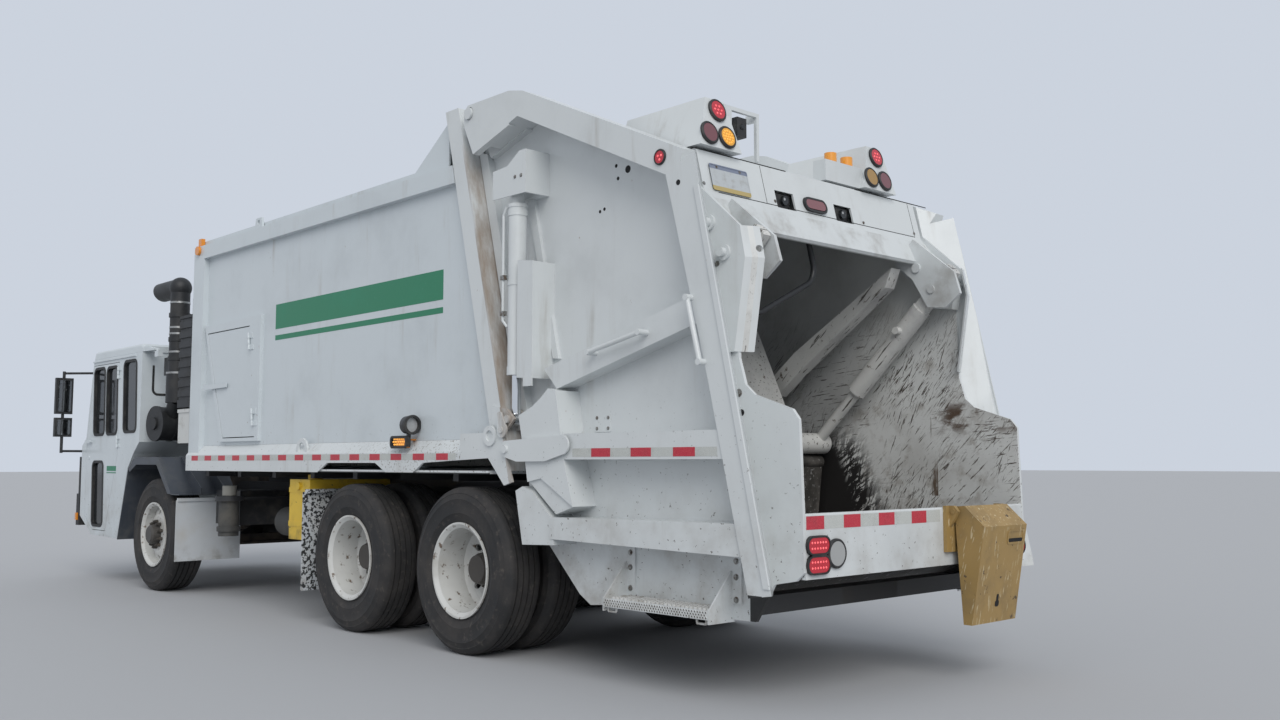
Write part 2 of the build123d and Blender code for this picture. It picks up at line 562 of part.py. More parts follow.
# Body rear frame: leaning posts, head beam, gussets and the hinge ears.
post_line = [(228, POST_TOP_Z), (83, POST_TOP_Z), (seal_x(1217), 1217), (seal_x(1217) + 145, 1217)]
rear_frame = []
for side in (1, -1):
    y0, y1 = sorted((side * 1080, side * POST_Y))
    rear_frame.append(side_plate(post_line, y0, y1))
    y0, y1 = sorted((side * 1206, side * LEDGE_Y))
    rear_frame.append(side_plate([(-17, 1371), (-17, 1206), (-315, 1217), (-477, 1054), (-560, 1075),
                                  (seal_x(1217), 1225), (seal_x(1371), 1371)], y0, y1))
    y0, y1 = sorted((side * 1195, side * 1206))
    rear_frame.append(side_plate([(-150, 1371), (-150, 1230), (seal_x(1217) + 5, 1230), (seal_x(1371) + 5, 1371)], y0, y1))
    y0, y1 = sorted((side * 1090, side * 1160))
    ear = side_plate([(150, 3480), (-73, 3480), (-140, 3413), (-73, 3346), (100, 3250)], y0, y1)
    ear += cross_bar(HINGE_X, HINGE_Z, y0, y1, 70)
    rear_frame.append(ear)
    y0, y1 = sorted((side * 1040, side * 1235))
    rear_frame.append(cross_bar(HINGE_X, HINGE_Z, y0, y1, 38))
    for low, high in ((1092, 1112), (1188, 1206)):
        y0, y1 = sorted((side * low, side * high))
        lug = side_plate([(-330, 1370), (-330, 1540), (-480, 1510), (-555, 1450), (-480, 1385)], y0, y1)
        rear_frame.append(lug)
    y0, y1 = sorted((side * LEDGE_Y, side * (LEDGE_Y + 14)))
    latch = cross_bar(-465, 1385, y0, y1, 46) + cross_bar(-440, 1470, y0, y1, 26)
    latch += side_plate([(-506, 1400), (-466, 1474), (-416, 1464), (-424, 1370)], y0, y1)
    latch += cross_bar(-465, 1385, y0, side * (LEDGE_Y + 24), 20)
    hook = cross_bar(-340, 1352, y0, y1, 62) - cross_bar(-340, 1352, y0 - 1, y1 + 1, 34)
    rear_frame += [latch, hook, cross_bar(*LIFT_FOOT, side * 1200, side * 1226, 24)]
head = side_plate([(228, POST_TOP_Z), (83, POST_TOP_Z), (seal_x(3250), 3250), (seal_x(3250) + 145, 3250)], -1080, 1080)
foot = side_plate([(seal_x(1217), 1217), (seal_x(1217) + 145, 1217), (seal_x(1141) + 145, 1141),
                   (seal_x(1141), 1141)], -1200, 1200)
save("body_rear_frame", fused([*rear_frame, head, foot]))

# Lamps on the load body: corner markers and work lamps above the ledge.
lamp = cross_bar(4130, 3080, 1201, 1225, 40)
marker = box(560, 680, 1221, 1250, 1290, 1350) + box(600, 640, SHEET_Y, 1225, 1337, 1347)
work = bar((610, 1214, 1440), (575, 1214, 1440), 60) + box(585, 605, 1200, 1222, 1337, 1400)
post_lamp = box(4100, 4160, 1163, 1198, 3123, 3190)
corner_lamp = box(7066, 7112, 1201, 1218, 585, 660)
headlamps = [bar((FRONT_X - 30, y, 700), (FRONT_X - 4, y, 700), 76) for y in HEADLAMP_Y]
save("body_lamps", *both_sides(lamp, marker + work, post_lamp, corner_lamp), *headlamps)

# Ejector panel: leaning face with side wings, sliding in the load space.
ejector = side_plate([(2700, 1160), (2740, 1160), (3290, 2950), (3250, 2950)], -1080, 1080)
for side in (1, -1):
    y0, y1 = sorted((side * 1060, side * 1080))
    ejector += side_plate([(2700, 1160), (3290, 1160), (3290, 2950), (3250, 2950)], y0, y1)
ejector += box(3250, 3290, -1080, 1080, 1160, 1260)
save("ejector_panel", ejector)

# Tailgate sides: sheet with the hopper wing, box posts and beams outside it.
def gate_x(z):
    """x of the tailgate's front edge at height z."""
    return seal_x(z) - SEAL_GAP


gate_sheet = [(gate_x(3250), 3250), (-577, 3300), (-1880, 2700), (-1990, 2560), (-2080, 2440), (-2190, 2150),
              (-2200, 1720), (-2241, 1583), (-2303, 1529), (-2543, 1450), (-2584, 1399), (SILL_X, 940), (-2605, 668),
              (-2557, 626), (-2420, 600), (-2300, 410), (-1227, 401), (-1060, 386), (-965, 439), (-683, 705),
              (gate_x(712) + 50, 712), (gate_x(1019), 1019)]
top_beam = [(-220, 3460), (-489, 3467), (-627, 3435), (-1987, 2809), (-1940, 2650), (-1863, 2693), (-577, 3289),
            (-220, 3180)]
rear_post = [(-1862, 2693), (-2159, 1600), (-2414, 548), (-2560, 570), (-2316, 1592), (-2206, 2150), (-2063, 2783)]
diagonal = [(-772, 1738), (-2029, 2058), (-2230, 1990), (-2250, 1900), (-2051, 1910), (-891, 1616)]
mid_beam = [(-1003, 1353), (-1003, 1208), (-2250, 1208), (-2216, 1353)]
low_beam = [(-903, 880), (-903, 757), (-2367, 737), (-2332, 896)]
rib = [(-467, 2835), (-535, 2823), (-787, 1805), (-736, 1809)]
column = [(-604, 1468), (-731, 1516), (-813, 1565), (-881, 1617), (-948, 1602), (-1031, 1181), (-1106, 944),
          (-819, 1100), (-695, 1078), (-673, 1189)]
slanted_bar = [(-695, 1080), (-819, 1102), (-1106, 946), (-942, 897)]
foot_box = [(-572, 1024), (-639, 1051), (-723, 1027), (-916, 872), (-931, 723), (-642, 712)]
tongue = [(-515, 1220), (-620, 1196), (-885, 1198), (-1040, 1235), (-1040, 1345), (-515, 1320)]
ear_plate = [(-1895, 2650), (-1943, 2650), (-2231, 2394), (-2265, 2227), (-2189, 1751), (-2130, 1751)]
step_side = [(1030, 650), (1050, 650), (1216, 464), (1216, 398), (1030, 398)]
hinge_plate = [(-20, 3330), (-10, 3430), (-54, 3470), (-489, 3467), (-489, 3250), (-117, 3140)]
lift_cheek = [(-336, 2985), (-336, 2806), (-663, 2806), (-663, 3070), (-600, 3070), (-480, 2995)]


def along_slope(outline_xy, low, high):
    """A prism of (x, y) outline at the post's top that follows the post down."""
    (x0, z0), (x1, z1) = REAR_EDGE
    shift = Vector(x1 - x0, 0, z1 - z0).normalized() * (high - low) * hypot(x1 - x0, z1 - z0) / (z0 - z1)
    outline = [(x + on_line(REAR_EDGE, high) - x0, y) for x, y in outline_xy]
    return extrude(Plane.XY.offset(high) * make_face(Polyline(*outline, close=True)), shift.length, dir=shift)


def tailgate_side():
    inner, outer = GATE_SHEET_Y[1], GATE_OUT_Y
    wall = side_plate(top_beam, inner, outer)
    wall += side_plate(rear_post, inner, outer)
    wall += side_plate(diagonal, inner, inner + 120)
    wall += side_plate(mid_beam, inner, outer - 10)
    wall += side_plate(low_beam, inner, outer - 10)
    wall -= along_slope([(-2037, outer + 1), (-1887, inner - 1), (-2400, inner - 1), (-2400, outer + 1)], 400, 2950)
    wall += side_plate(gate_sheet, *GATE_SHEET_Y)
    wall += side_plate(rib, inner, inner + 25)

    # The ear's outer plate with its two pin heads and the folded rear flange.
    wall += side_plate(ear_plate, inner, inner + 20)
    for x, z in ((-2020, 2437), PACK_PIN):
        wall += cross_bar(x, z, inner + 18, inner + 34, 42) + cross_bar(x, z, inner + 30, inner + 62, 24)
    flange_line = [(-2231, 2394), (-2265, 2227), (-2189, 1751), (-2177, 1751), (-2253, 2227), (-2219, 2394)]
    flange = make_face(Polyline(*flange_line, close=True))
    flange = extrude(Plane.XZ.offset(-inner - 20) * flange, 110, dir=(-0.42, -0.907, 0))
    wall += flange - bar((-2340, 975, 2275), (-2240, 975, 2275), 18)

    # Columns and boxes between the post and the load body.
    front_post = [(gate_x(3200), 3200), (gate_x(1019), 1019), (gate_x(1019) - 90, 1019), (gate_x(3200) - 90, 3170)]
    wall += side_plate(front_post, inner, 1085)
    wall += side_plate(column, inner, outer - 8)
    wall += side_plate(slanted_bar, inner, outer - 24)
    wall += side_plate(foot_box, inner, outer - 15)
    wall += side_plate([(-700, 1345), (-700, 1208), (-1030, 1240), (-1030, 1345)], outer - 12, outer + 6)
    wall += side_plate(tongue, outer + 6, outer + 18) + cross_bar(-1040, 1290, outer + 6, outer + 18, 55)
    wall += cross_bar(-515, 1270, outer + 6, outer + 18, 50) + cross_bar(-515, 1270, outer + 16, outer + 34, 24)
    for low, high in ((inner, 1080), (1170, outer)):
        plate = side_plate(hinge_plate, low, high)
        wall += plate - cross_bar(HINGE_X, HINGE_Z, low - 5, high + 5, 42)
    for low, high in ((1068, 1088), (1212, outer)):
        wall += side_plate(lift_cheek, low, high)
    wall += side_plate([(-663, 3070), (-663, 2806), (-645, 2806), (-645, 3062)], inner, outer)
    wall += side_plate([(-663, 2806), (-400, 2806), (-400, 2820), (-663, 2820)], inner, 1088)
    wall += cross_bar(*LIFT_TOP, inner, outer, 20)

    # Guard of folded sheet behind the cylinder.
    wall += side_plate([(-575, 2405), (-575, 1695), (-720, 1686), (-720, 2385)], outer - 20, outer - 14)
    wall += side_plate([(-714, 2386), (-714, 1686), (-720, 1686), (-720, 2385)], inner, outer - 14)
    wall += side_plate([(-640, 1700), (-640, 1640), (-720, 1640), (-720, 1700)], outer - 22, outer - 10)

    # Step: sloping side plates, a tread with a front lip and wall brackets.
    wall += box(-2150, -1370, inner - 1, outer - 6, 440, 460) + box(-2150, -1370, outer - 12, outer - 2, 420, 466)
    for x, low in ((-2154, 489), (-1377, 464)):
        wall += cross_plate(step_side, x, x + 10)
        wall += box(x - 62, x + 2, inner - 1, inner + 11, low, 738)

    # Grab handles: a flat one over the diagonal beam, an upright on the post.
    for start, end, y, foot_y in (((-1235, 1802), (-1650, 1882), 1212, 1150), ((-2044, 2024), (-2131, 1691), 1250, 1215)):
        wall += bar((start[0], y, start[1]), (end[0], y, end[1]), 14)
        for x, z in (start, end):
            wall += cross_bar(x, z, foot_y, y + 16, 17)
    return wall


gate_side = tailgate_side()
save("tailgate_side_left", gate_side)
save("tailgate_side_right", other_side(gate_side))

# Hopper floor: a rolled trough from the load floor down and up to the sill.
INNER_Y = GATE_SHEET_Y[0]


def strip(points, thick, y0, y1):
    """A plate bent to an arc through three (x, z) points, thick outwards."""
    (x0, z0), (x1, z1), (x2, z2) = points
    a, b, c = Vector(x0, z0), Vector(x1, z1), Vector(x2, z2)
    arc = ThreePointArc(a, b, c)
    centre = arc.arc_center
    reach = arc.radius + thick
    outer = [centre + (p - centre).normalized() * reach for p in (a, b, c)]
    face = make_face([arc, Line(c, outer[2]), ThreePointArc(outer[2], outer[1], outer[0]), Line(outer[0], a)])
    return extrude(Plane.XZ.offset(-y1) * face, y1 - y0)


trough = strip(((-2575, 900), (-1750, 450), (-800, 770)), 12, -INNER_Y, INNER_Y)
ramp = side_plate([(-800, 770), (gate_x(1130) - 5, 1130), (gate_x(1130) - 5, 1114), (-792, 760)], -INNER_Y, INNER_Y)
save("hopper_floor", trough + ramp)

# Rear sill: a folded sheet across the hopper's mouth.
sill = box(SILL_X, SILL_X + 12, -INNER_Y, INNER_Y, *SILL_Z) + box(SILL_X, SILL_X + 190, -INNER_Y, INNER_Y, 633, 645)
sill += cross_bar(SILL_X + 14, SILL_Z[1] - 4, -INNER_Y, INNER_Y, 14)
belly_beam = box(-2300, -2180, -INNER_Y, INNER_Y, 440, 530)
save("rear_sill", sill, belly_beam)

# Tailgate header and roof.
header_face = [(-1885, 2868), (-1943, 2635)]
header_outer = [(-1760, 2880), *header_face, (-2020, 2455), (-2008, 2440), (-1985, 2440), (-1830, 2560)]
header_inner = [(-1772, 2862), (-1875, 2852), (-1931, 2637), (-2005, 2462), (-1985, 2462), (-1844, 2570)]
header = side_plate(header_outer, -INNER_Y, INNER_Y) - side_plate(header_inner, -INNER_Y + 12, INNER_Y - 12)
for y0, y1 in ((248, 413), (-300, -130)):
    header -= box(-2000, -1895, y0, y1, 2628, 2732)
roof_plate = side_plate([(-150, 3290), (-577, 3330), (-1755, 2790), (-1755, 2805), (-580, 3345), (-150, 3305)],
                        -INNER_Y, INNER_Y)

# Ears: boxed plates that carry the packer's pins, welded under the header,
# and the hose that runs from the header to the left packing cylinder.
ear_line = [(-1863, 2453), (-2000, 2600), (-2290, 2360), (-2330, 2223), (-2225, 2142), (-2098, 2156), (-1992, 2341)]
ear_block = [(-1802, 2458), (-1944, 2600), (-2165, 2393), (-2240, 2300), (-2206, 2143), (-2045, 2159), (-1944, 2323)]
header = fused([header, *both_sides(side_plate(ear_line, 838, 860), side_plate(ear_block, 940, INNER_Y),
                                    cross_bar(*PACK_PIN, 830, INNER_Y, 26), cross_bar(-2024, 2411, 826, 850, 30))])
hose_line = FilletPolyline((PORT_X, 75, 2530), (PORT_X, -5, 2270), (PORT_X, 500, PORT_Z), (PORT_X, 800, PORT_Z), radius=110)
header += sweep(Plane(origin=hose_line @ 0, z_dir=hose_line % 0) * Circle(17), path=hose_line)
save("tailgate_header", header)

# Light boxes: wedges on the roof that slope forward, with their lamps.
light_face = [(-1930, 2885), (-1864, 3175)]
light_side = [*light_face, (-1240, 3185), (-1240, 3035), (-1750, 2800), (-1756, 2885)]
light_back = [(690, 2780), (1033, 2780), (1033, 2860), (920, 3176), (765, 3176), (690, 2860)]


def on_face(line, y, z, out):
    """A point out from a leaning rear face, given by two of its (x, z) points."""
    (x0, z0), (x1, z1) = line
    run = hypot(x1 - x0, z1 - z0)
    return (on_line(line, z) - out * abs(z1 - z0) / run, y, z + out * (x1 - x0) / run * (1 if z1 > z0 else -1))


LAMP_YZ = ((847, 3108), (946, 2958), (805, 2958))
light_box = side_plate(light_side, 600, 1100) & cross_plate(light_back, -1950, -1230)
for y, z in LAMP_YZ:
    light_box += bar(on_face(light_face, y, z, -6), on_face(light_face, y, z, 12), 61, 54)
right_box = light_box.moved(Location((0, LIGHT_BOX_STEP, 0)))

# Guard hoop beside the left box and the open tray beside the right one.
hoop = box(-1882, -1862, 496, 790, 2884, 3160) - box(-1890, -1850, 518, 725, 2860, 3138)
hoop += box(-1882, -1800, 496, 518, 3116, 3160)
tray = box(-1885, -1790, -510, -105, 2884, 3012) - box(-1877, -1780, -497, -118, 2892, 3020)
save("tailgate_roof", fused([roof_plate, light_box + hoop, right_box + tray]))

# Rear lamps: three on each light box, the strobes, an oval one on the header,
# and on the sill two long ones and a round one each side.
lamps = []
for y, z in LAMP_YZ:
    lens = bar(on_face(light_face, y, z, 1), on_face(light_face, y, z, 16), 52)
    lamps += [lens, lens.moved(Location((0, LIGHT_BOX_STEP, 0)))]
lamps += [bar((-1838, y, 2894), (-1838, y, 3072), 38) for y in (-215, -375)]
oval = Plane(origin=on_face(header_face, 67, 2690, 1), x_dir=(0, 1, 0), z_dir=(-0.97, 0, 0.242)) * SlotOverall(180, 62)
lamps.append(extrude(oval, 16))
for low in (664, 757):
    sill_lens = Plane(origin=(SILL_X - 1, 932, low + 37), x_dir=(0, 1, 0), z_dir=(-1, 0, 0)) * SlotOverall(158, 74)
    lamps += both_sides(extrude(sill_lens, 15))
lamps += both_sides(bar((SILL_X - 1, 786, 748), (SILL_X - 15, 786, 748), 60))
save("rear_lamps", *lamps)

# Packer: struts, barrels fixed to the ears, and the sliding carriage.
reach = hypot(PACK_EYE[0] - PACK_PIN[0], PACK_EYE[1] - PACK_PIN[1])
push = ((PACK_EYE[0] - PACK_PIN[0]) / reach, (PACK_EYE[1] - PACK_PIN[1]) / reach)


def along(distance, y=PACK_Y):
    """A point on the packing cylinder's axis, measured from the ear pin."""
    return (PACK_PIN[0] + push[0] * distance, y, PACK_PIN[1] + push[1] * distance)


barrels, rods = [], []
for y in (PACK_Y, -PACK_Y):
    barrel = bar(along(190, y), along(873, y), 62, 50) + bar(along(155, y), along(195, y), 62)
    lug_face = Plane(origin=along(0, y), x_dir=(push[0], 0, push[1]), z_dir=(0, 1, 0)) * Rectangle(360, 90)
    barrel += extrude(lug_face, 28, both=True) & cross_bar(*along(0)[::2], y - 28, y + 28, 180)
    barrel -= side_plate([along(d, y)[::2] for d in (-60, -400)] + [(-2400, 2500)], y - 40, y + 40)
    barrel += bar((PORT_X, y * 800 / PACK_Y, PORT_Z), (PORT_X, y * 842 / PACK_Y, PORT_Z), 24)
    barrels.append(barrel - cross_bar(*PACK_PIN, y - 70, y + 70, 27))
    rods.append(bar(along(520, y), along(reach - 20, y), 36))
save("packer_barrels", *barrels)
struts = []
for y0, y1 in ((700, 800), (-800, -700)):
    strut = side_plate([(-1930, 2410), (-1880, 2290), (-1190, 1800), (-985, 1640), (-935, 1760), (-1140, 1925)], y0, y1)
    struts.append(strut)
save("packer_struts", *struts)

cross_tube = cross_bar(*PACK_EYE, -980, 980, 70)
panel = side_plate([(-1200, 1370), (-1130, 1340), (-720, 2230), (-790, 2260)], -640, 640)
carriage = fused([cross_tube, panel, *rods])
lug_line = [(-1200, 1300), (-1100, 1300), (-1085, 1195), (-1120, 1160), (-1160, 1195)]
LUG_Y = (-620, -220, 180, 580)
for y in LUG_Y:
    carriage += side_plate(lug_line, y, y + 40)
carriage += cross_bar(*BLADE_HINGE, -700, 700, 17)
save("packer_carriage", carriage)

# Packer blade: a curved plough hung below the carriage.
blade = cross_bar(*BLADE_HINGE, -980, 980, 44)
blade += side_plate([(-1150, 1195), (-1090, 1195), (-1050, 1080), (-1060, 775), (-1100, 775), (-1130, 1040)], -980, 980)
for y in LUG_Y:
    blade -= cross_bar(*BLADE_HINGE, y - 8, y + 48, 70)
blade -= cross_bar(*BLADE_HINGE, -710, 710, 20)
save("packer_blade", blade)

# Lift cylinders: barrels on the tailgate, rods on the load body.
lift_barrels, lift_rods = [], []
for side in (1, -1):
    y = side * LIFT_Y
    barrel = bar((LIFT_TOP[0], y, 2750), (LIFT_TOP[0], y, 1716), 56, 34)
    barrel += bar((LIFT_TOP[0], y, LIFT_TOP[1] - 60), (LIFT_TOP[0], y, 2740), 40)
    for low, high in ((1716, 1760), (2690, 2730)):
        barrel += bar((LIFT_TOP[0], y, low), (LIFT_TOP[0], y, high), 60, 50)
    barrel += cross_bar(*LIFT_TOP, y - 36, y + 36, 42)
    barrel += bar((LIFT_TOP[0], y, LIFT_TOP[1] - 90), (LIFT_TOP[0], y, LIFT_TOP[1] - 30), 36)
    barrel -= cross_bar(*LIFT_TOP, y - 40, y + 40, 22)
    lift_barrels.append(barrel)
    rod = bar((LIFT_FOOT[0], y, LIFT_FOOT[1]), (LIFT_FOOT[0], y, 2690), 28)
    rod += cross_bar(*LIFT_FOOT, y - 32, y + 32, 38)
    lift_rods.append(rod - cross_bar(*LIFT_FOOT, y - 40, y + 40, 20))
save("lift_barrels", *lift_barrels)
save("lift_rods", *lift_rods)

# Cart tipper: bracket on the sill and the swinging face.
bracket = box(-2622, SILL_X - 1, -725, -170, 705, 875)
for y0, y1 in ((-225, -170), (-725, -697)):
    bracket += box(-2622, SILL_X - 1, y0, y1, 875, 955)
for y0, y1 in ((-225, -200), (-722, -697)):
    bracket += side_plate([(-2610, 955), (-2610, 820), (-2650, 880), (-2675, 925), (-2650, 955)], y0, y1)
bracket += cross_bar(*TIPPER_PIN, -728, -195, 14)
save("tipper_bracket", bracket)
face_line = [(-2632, 950), (-2690, 955), (REAR_X, 845), (-2722, 315), (-2670, 315), (-2632, 880)]
face = side_plate(face_line, -690, -240)
face -= side_plate([(-2620, 900), (-2680, 935), (-2785, 840), (-2712, 325), (-2640, 325), (-2620, 870)], -680, -250)
face -= cross_bar(*TIPPER_PIN, -710, -230, 16)
save("tipper_face", face)
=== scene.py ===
from math import cos, pi, radians, sin, tan

import bmesh
import bpy
from mathutils import Matrix, Vector


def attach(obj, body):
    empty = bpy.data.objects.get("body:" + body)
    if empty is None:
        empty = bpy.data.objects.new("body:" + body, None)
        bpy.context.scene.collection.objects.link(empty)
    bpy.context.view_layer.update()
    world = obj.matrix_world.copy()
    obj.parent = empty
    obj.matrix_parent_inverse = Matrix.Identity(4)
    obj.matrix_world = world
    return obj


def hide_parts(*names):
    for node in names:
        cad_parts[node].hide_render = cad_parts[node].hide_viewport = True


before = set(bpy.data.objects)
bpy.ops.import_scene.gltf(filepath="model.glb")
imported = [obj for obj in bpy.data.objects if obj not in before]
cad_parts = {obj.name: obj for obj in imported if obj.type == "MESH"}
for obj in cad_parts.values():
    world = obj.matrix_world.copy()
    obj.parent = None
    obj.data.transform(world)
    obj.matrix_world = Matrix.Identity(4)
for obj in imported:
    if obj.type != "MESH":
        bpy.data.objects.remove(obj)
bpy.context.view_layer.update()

# The camera stands on the road behind the truck's left rear corner at chest
# height, and the studio is a pale floor under an even sky with one soft lamp.
camera = bpy.data.cameras.new("camera")
camera.lens = 33.078
camera.sensor_width = 36
camera.clip_end = 400
viewer = bpy.data.objects.new("camera", camera)
viewer.location = (-8.3423, 5.4633, 1.1937)
viewer.rotation_euler = (radians(94.9549), radians(0.016), radians(-133.2122))
bpy.context.scene.collection.objects.link(viewer)
bpy.context.scene.camera = viewer

bpy.context.scene.view_settings.view_transform = "Standard"
sky = bpy.data.worlds.new("sky")
bpy.context.scene.world = sky
sky.use_nodes = True
sky_nodes, sky_links = sky.node_tree.nodes, sky.node_tree.links
even_sky = sky_nodes["Background"]
even_sky.inputs["Color"].default_value = (0.86, 0.9, 0.95, 1)
even_sky.inputs["Strength"].default_value = 0.62
seen_sky = sky_nodes.new("ShaderNodeBackground")
seen_sky.inputs["Color"].default_value = (0.60, 0.65, 0.73, 1)
rays = sky_nodes.new("ShaderNodeLightPath")
seen = rays.outputs["Is Camera Ray"]
for ray in ("Is Glossy Ray", "Is Transmission Ray"):
    either = sky_nodes.new("ShaderNodeMath")
    either.operation = "MAXIMUM"
    sky_links.new(seen, either.inputs[0])
    sky_links.new(rays.outputs[ray], either.inputs[1])
    seen = either.outputs[0]
choice = sky_nodes.new("ShaderNodeMixShader")
sky_links.new(seen, choice.inputs[0])
sky_links.new(even_sky.outputs[0], choice.inputs[1])
sky_links.new(seen_sky.outputs[0], choice.inputs[2])
sky_links.new(choice.outputs[0], sky_nodes["World Output"].inputs["Surface"])

soft_sun = bpy.data.lights.new("soft_sun", "SUN")
soft_sun.energy = 1.55
soft_sun.angle = radians(40)
soft_sun.color = (1, 0.98, 0.95)
sun = bpy.data.objects.new("soft_sun", soft_sun)
sun.rotation_euler = (radians(54), 0, radians(-122))
bpy.context.scene.collection.objects.link(sun)


def finish(name, colour, roughness, metallic=0.0, coat=0.0):
    """A material whose own shader holds the plain colour and the gloss."""
    material = bpy.data.materials.new(name)
    material.use_nodes = True
    shader = material.node_tree.nodes["Principled BSDF"]
    shader.inputs["Base Color"].default_value = (*colour, 1)
    shader.inputs["Roughness"].default_value = roughness
    shader.inputs["Metallic"].default_value = metallic
    shader.inputs["Coat Weight"].default_value = coat
    return material


floor_paint = finish("floor_paint", (0.47, 0.48, 0.50), 0.8)
floor_mesh = bmesh.new()
bmesh.ops.create_grid(floor_mesh, x_segments=1, y_segments=1, size=150)
floor_data = bpy.data.meshes.new("floor")
floor_mesh.to_mesh(floor_data)
floor_data.materials.append(floor_paint)
floor = bpy.data.objects.new("floor", floor_data)
bpy.context.scene.collection.objects.link(floor)


# Chassis: rails, cross members, engine and tanks in black enamel that years
# of road spray have turned brown-grey, over cast axles caked in oily dust.
REAR_AXLE_X = -2.16  # the rearmost axle, from which every piece is laid out


def share(material, value, low, high):
    """0 where value is at low and 1 where it is at high, eased between."""
    nodes, links = material.node_tree.nodes, material.node_tree.links
    cut = nodes.new("ShaderNodeMapRange")
    cut.interpolation_type = "SMOOTHSTEP"
    cut.inputs["From Min"].default_value = low
    cut.inputs["From Max"].default_value = high
    links.new(value, cut.inputs["Value"])
    return cut.outputs[0]


def pattern(material, scale, low, high, stretch=(1, 1, 1), detail=6.0):
    """Noise on the piece's own place, 0 below low and 1 above high."""
    nodes, links = material.node_tree.nodes, material.node_tree.links
    place = nodes.new("ShaderNodeTexCoord")
    drawn = nodes.new("ShaderNodeMapping")
    drawn.inputs["Scale"].default_value = stretch
    links.new(place.outputs["Object"], drawn.inputs["Vector"])
    noise = nodes.new("ShaderNodeTexNoise")
    noise.inputs["Scale"].default_value = scale
    noise.inputs["Detail"].default_value = detail
    noise.inputs["Roughness"].default_value = 0.62
    links.new(drawn.outputs[0], noise.inputs["Vector"])
    return share(material, noise.outputs[0], low, high)


def ramp(material, low, high, way=(0, 0, 1)):
    """0 at low and 1 at high, in metres measured along a direction."""
    nodes, links = material.node_tree.nodes, material.node_tree.links
    place = nodes.new("ShaderNodeTexCoord")
    measure = nodes.new("ShaderNodeVectorMath")
    measure.operation = "DOT_PRODUCT"
    measure.inputs[1].default_value = way
    links.new(place.outputs["Object"], measure.inputs[0])
    return share(material, measure.outputs["Value"], low, high)


def both(material, mask, *others, how="MULTIPLY"):
    """Masks put together, by their product unless told otherwise."""
    nodes, links = material.node_tree.nodes, material.node_tree.links
    for other in others:
        joined = nodes.new("ShaderNodeMath")
        joined.operation = how
        joined.use_clamp = True
        for index, value in enumerate((mask, other)):
            if isinstance(value, (int, float)):
                joined.inputs[index].default_value = value
            else:
                links.new(value, joined.inputs[index])
        mask = joined.outputs[0]
    return mask


def cover(material, mask, colour, roughness):
    """Lays a colour and a roughness over the material where mask is 1."""
    nodes, links = material.node_tree.nodes, material.node_tree.links
    shader = nodes["Principled BSDF"]
    # The Mix node's sockets: A and its result, for a colour and for a number.
    for socket, kind, over, first, result in (("Base Color", "RGBA", (*colour, 1), 6, 2),
                                              ("Roughness", "FLOAT", roughness, 2, 0)):
        mix = nodes.new("ShaderNodeMix")
        mix.data_type = kind
        under = shader.inputs[socket]
        if under.is_linked:
            links.new(under.links[0].from_socket, mix.inputs[first])
        else:
            mix.inputs[first].default_value = under.default_value
        mix.inputs[first + 1].default_value = over
        links.new(mask, mix.inputs[0])
        links.new(mix.outputs[result], under)


def bump(material, mask, depth, strength=0.5):
    """Raises the surface where mask is 1, by depth in metres."""
    nodes, links = material.node_tree.nodes, material.node_tree.links
    shader = nodes["Principled BSDF"]
    relief = nodes.new("ShaderNodeBump")
    relief.inputs["Strength"].default_value = strength
    relief.inputs["Distance"].default_value = depth
    links.new(mask, relief.inputs["Height"])
    if shader.inputs["Normal"].is_linked:
        links.new(shader.inputs["Normal"].links[0].from_socket, relief.inputs["Normal"])
    links.new(relief.outputs[0], shader.inputs["Normal"])


def dress(material, *names):
    """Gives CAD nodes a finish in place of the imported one."""
    for name in names:
        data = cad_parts[name].data
        data.materials.clear()
        data.materials.append(material)


chassis_black = finish("chassis_black", (0.020, 0.021, 0.024), 0.55)
cover(chassis_black, pattern(chassis_black, 3.5, 0.42, 0.72), (0.060, 0.056, 0.050), 0.85)
cover(chassis_black, pattern(chassis_black, 40, 0.6, 0.75), (0.11, 0.10, 0.09), 0.9)
bump(chassis_black, pattern(chassis_black, 90, 0.3, 0.7), 0.001)
dress(chassis_black, "chassis_frame", "rear_suspension", "front_bumper")

dryer_grey = finish("dryer_grey", (0.055, 0.055, 0.053), 0.6)
cover(dryer_grey, pattern(dryer_grey, 6, 0.45, 0.7), (0.10, 0.095, 0.085), 0.8)
dryer_band = both(dryer_grey, ramp(dryer_grey, 0.86, 0.865), ramp(dryer_grey, 0.905, 0.9))
cover(dryer_grey, dryer_band, (0.030, 0.031, 0.034), 0.5)
dryer_head = ramp(dryer_grey, 0.905, 0.91)
cover(dryer_grey, dryer_head, (0.30, 0.295, 0.27), 0.6)
dress(dryer_grey, "air_tanks")

cast_iron = finish("cast_iron", (0.035, 0.03, 0.027), 0.75)
cover(cast_iron, pattern(cast_iron, 5, 0.4, 0.7), (0.10, 0.08, 0.062), 0.9)
bump(cast_iron, pattern(cast_iron, 120, 0.3, 0.7), 0.002)
dress(cast_iron, "front_axle", "knuckle_left", "knuckle_right", "tie_rod", "rear_axles", "engine")

tank_yellow = finish("tank_yellow", (0.74, 0.50, 0.045), 0.45)
cover(tank_yellow, pattern(tank_yellow, 6, 0.5, 0.8), (0.45, 0.31, 0.06), 0.7)
cover(tank_yellow, pattern(tank_yellow, 14, 0.64, 0.68), (0.06, 0.05, 0.04), 0.8)
spray = both(tank_yellow, ramp(tank_yellow, 0.85, 0.62), pattern(tank_yellow, 5, 0.35, 0.7))
cover(tank_yellow, spray, (0.17, 0.13, 0.07), 0.8)
dress(tank_yellow, "hydraulic_tank")

